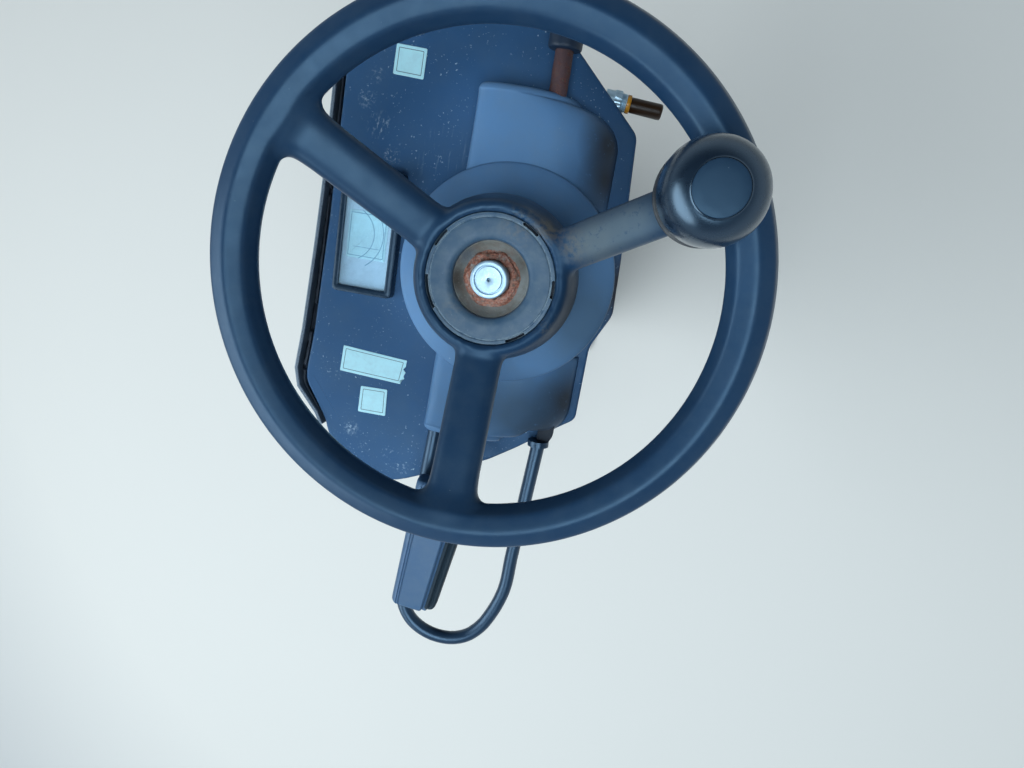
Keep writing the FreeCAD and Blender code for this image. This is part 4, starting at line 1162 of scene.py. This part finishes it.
foot = outlineRing([(30, -80), (30, 80), (-97, 80), (-97, -80)], 11, 0, 8)
beads = [weldBead(np.column_stack([foot, np.full(len(foot), 8.4)]), closed=True)]
for side in (1, -1):
    for x in (-28.2, -21.8):
        bend = softCorners([(x, 79.8, 74), (x, 79.8, 8.4), (x, 119, 8.4)], 4, 5)
        beads.append(weldBead(bend * [1, side, 1]))
for y in (-3.2, 3.2):
    beads.append(weldBead(softCorners([(30.2, y, 74), (30.2, y, 8.4), (90, y, 8.4)], 4, 5)))
points, faces = joined([(grid, closedTube(grid)) for grid in beads])
addPiece("weldBeads", onBase(points), faces, "console", "pedestal_paint", "weldPaint", (), 60)
print("small parts made")

# Frame nodes that keep their shape, with softened edges.
for name, nodeName, width in (("basePlate", "base_plate", 1.0), ("pedestalBox", "pedestal", 0.6),
                              ("serviceCover", "service_cover", 0.9), ("gussetLeft", "gusset_left", 0.8),
                              ("gussetRight", "gusset_right", 0.8), ("gussetFront", "gusset_front", 0.8),
                              ("skirtBracket", "skirt_bracket", 0.6)):
    softened(name, nodeName, "console", "pedestalPaint", width)
softened("frontSkirt", "front_skirt", "console", "skirtPaint", 0.7)
softened("hoopClip", "hoop_clip", "console", "stripRubber", 0.8)

for nodeName, finish in (("steering_unit", "castIron"), ("column_flange", "castIron"),
                         ("column_tube", "tubeSteel"),
                         ("knob_pin", "brightZinc"), ("lever_ring", "tubeSteel"), ("tip_pin", "brightZinc"),
                         ("tip_boss", "rustBar"), ("instrument_face", "panelPale"),
                         ("instrument_glass", "dustyGlass")):
    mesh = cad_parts[nodeName].data
    mesh.materials.clear()
    mesh.materials.append(finishes[finish])
print("frame nodes dressed")

# Floor, light and camera. The floor is pale to the camera, in reflections and through glass, and throws less
# light back at the object; far away it fades into the horizon for the same rays.
look = {"floor": (0.84, 0.79, 0.73), "floorBounce": (0.16, 0.155, 0.14), "floorHalf": 30.0, "floorRough": 0.9,
        "sky": (0.74, 0.88, 1.0), "horizon": 0.62, "zenith": 0.08, "fill": 0.30, "fadeFrom": 1.3, "fadeTo": 3.0}
lamps = {"aim": (-0.12, 0, 0.6), "each": (
    ("frontLamp", (1.51, 1.19, 2.18), (3.6, 1.6), 68.0, (0.78, 0.91, 1.0)),
    ("rearLamp", (-0.80, 0.60, 2.76), (1.8, 1.8), 50.0, (0.72, 0.88, 1.0)))}
shot = {"place": (-0.28522, -0.0283, 1.01259), "right": (-0.93543, -0.16112, -0.31465),
        "down": (-0.2194, 0.96253, 0.15936), "forward": (0.27718, 0.2181, -0.93574), "lens": 22.5, "sensor": 36.0}


def seenRays(tree):
    rays = node(tree, "ShaderNodeLightPath").outputs
    seen = times(tree, rays["Is Camera Ray"], rays["Is Glossy Ray"], "MAXIMUM")
    return times(tree, seen, rays["Is Transmission Ray"], "MAXIMUM")


def floorLook(s=look):
    finish, tree, shader, place = startFinish("floorFinish")
    seen = seenRays(tree)
    pale = tint(tree, noise(tree, place, 3.0, 4), s["floor"], tuple(c * 0.985 for c in s["floor"]))
    tree.links.new(tint(tree, seen, s["floorBounce"], pale), shader.inputs["Base Color"])
    shader.inputs["Roughness"].default_value = s["floorRough"]
    shader.inputs["Specular IOR Level"].default_value = 0.1
    away = node(tree, "ShaderNodeVectorMath", {"Vector": place}, operation="LENGTH").outputs["Value"]
    fade = times(tree, span(tree, away, s["fadeFrom"], s["fadeTo"]), seen)
    horizon = node(tree, "ShaderNodeEmission", {"Color": (*s["sky"], 1), "Strength": s["horizon"]})
    faded = node(tree, "ShaderNodeMixShader", {0: fade, 1: shader.outputs[0], 2: horizon.outputs[0]})
    end = next(n for n in tree.nodes if n.type == "OUTPUT_MATERIAL")
    tree.links.new(faded.outputs[0], end.inputs["Surface"])
    return finish


half = look["floorHalf"]
mesh = bpy.data.meshes.new("floor")
mesh.from_pydata([(-half, -half, 0), (half, -half, 0), (half, half, 0), (-half, half, 0)], [], [[0, 1, 2, 3]])
mesh.materials.append(floorLook())
linked("floor", mesh)


def skyLook(s=look):
    # Bright at the horizon and dim overhead for every kind of ray, and dimmer where it lights the object.
    world = bpy.data.worlds.new("world")
    world.use_nodes = True
    tree = world.node_tree
    tree.nodes.clear()
    direction = node(tree, "ShaderNodeTexCoord").outputs["Generated"]
    height = node(tree, "ShaderNodeSeparateXYZ", {"Vector": direction}).outputs["Z"]
    strength = times(tree, span(tree, height, 0.12, 0.55, s["horizon"], s["zenith"]),
                     span(tree, seenRays(tree), 0.0, 1.0, s["fill"], 1.0))
    sky = node(tree, "ShaderNodeBackground", {"Color": (*s["sky"], 1), "Strength": strength})
    node(tree, "ShaderNodeOutputWorld", {"Surface": sky.outputs[0]})
    return world


bpy.context.scene.world = skyLook()


def stood(name, data, x, y, z, place):
    # An object at a place whose own axes point along x, y and z.
    carrier = linked(name, data)
    carrier.matrix_world = Matrix([[x[k], y[k], z[k], place[k]] for k in range(3)] + [[0, 0, 0, 1]])
    return carrier


for name, place, size, power, colour in lamps["each"]:
    lamp = bpy.data.lights.new(name, "AREA")
    lamp.shape, lamp.energy, lamp.color = "ELLIPSE", power, colour
    lamp.size, lamp.size_y = size
    z = np.array(place, float) - np.array(lamps["aim"], float)
    z /= np.linalg.norm(z)
    x = np.cross((0, 0, 1), z)
    x /= np.linalg.norm(x)
    stood(name, lamp, x, np.cross(z, x), z, place)

camera = bpy.data.cameras.new("camera")
camera.sensor_width, camera.lens = shot["sensor"], shot["lens"]
camera.clip_start, camera.clip_end = 0.02, 50
up, back = [-c for c in shot["down"]], [-c for c in shot["forward"]]
bpy.context.scene.camera = stood("camera", camera, shot["right"], up, back, shot["place"])
bpy.context.scene.view_settings.view_transform = "Standard"
print("stage and camera set")
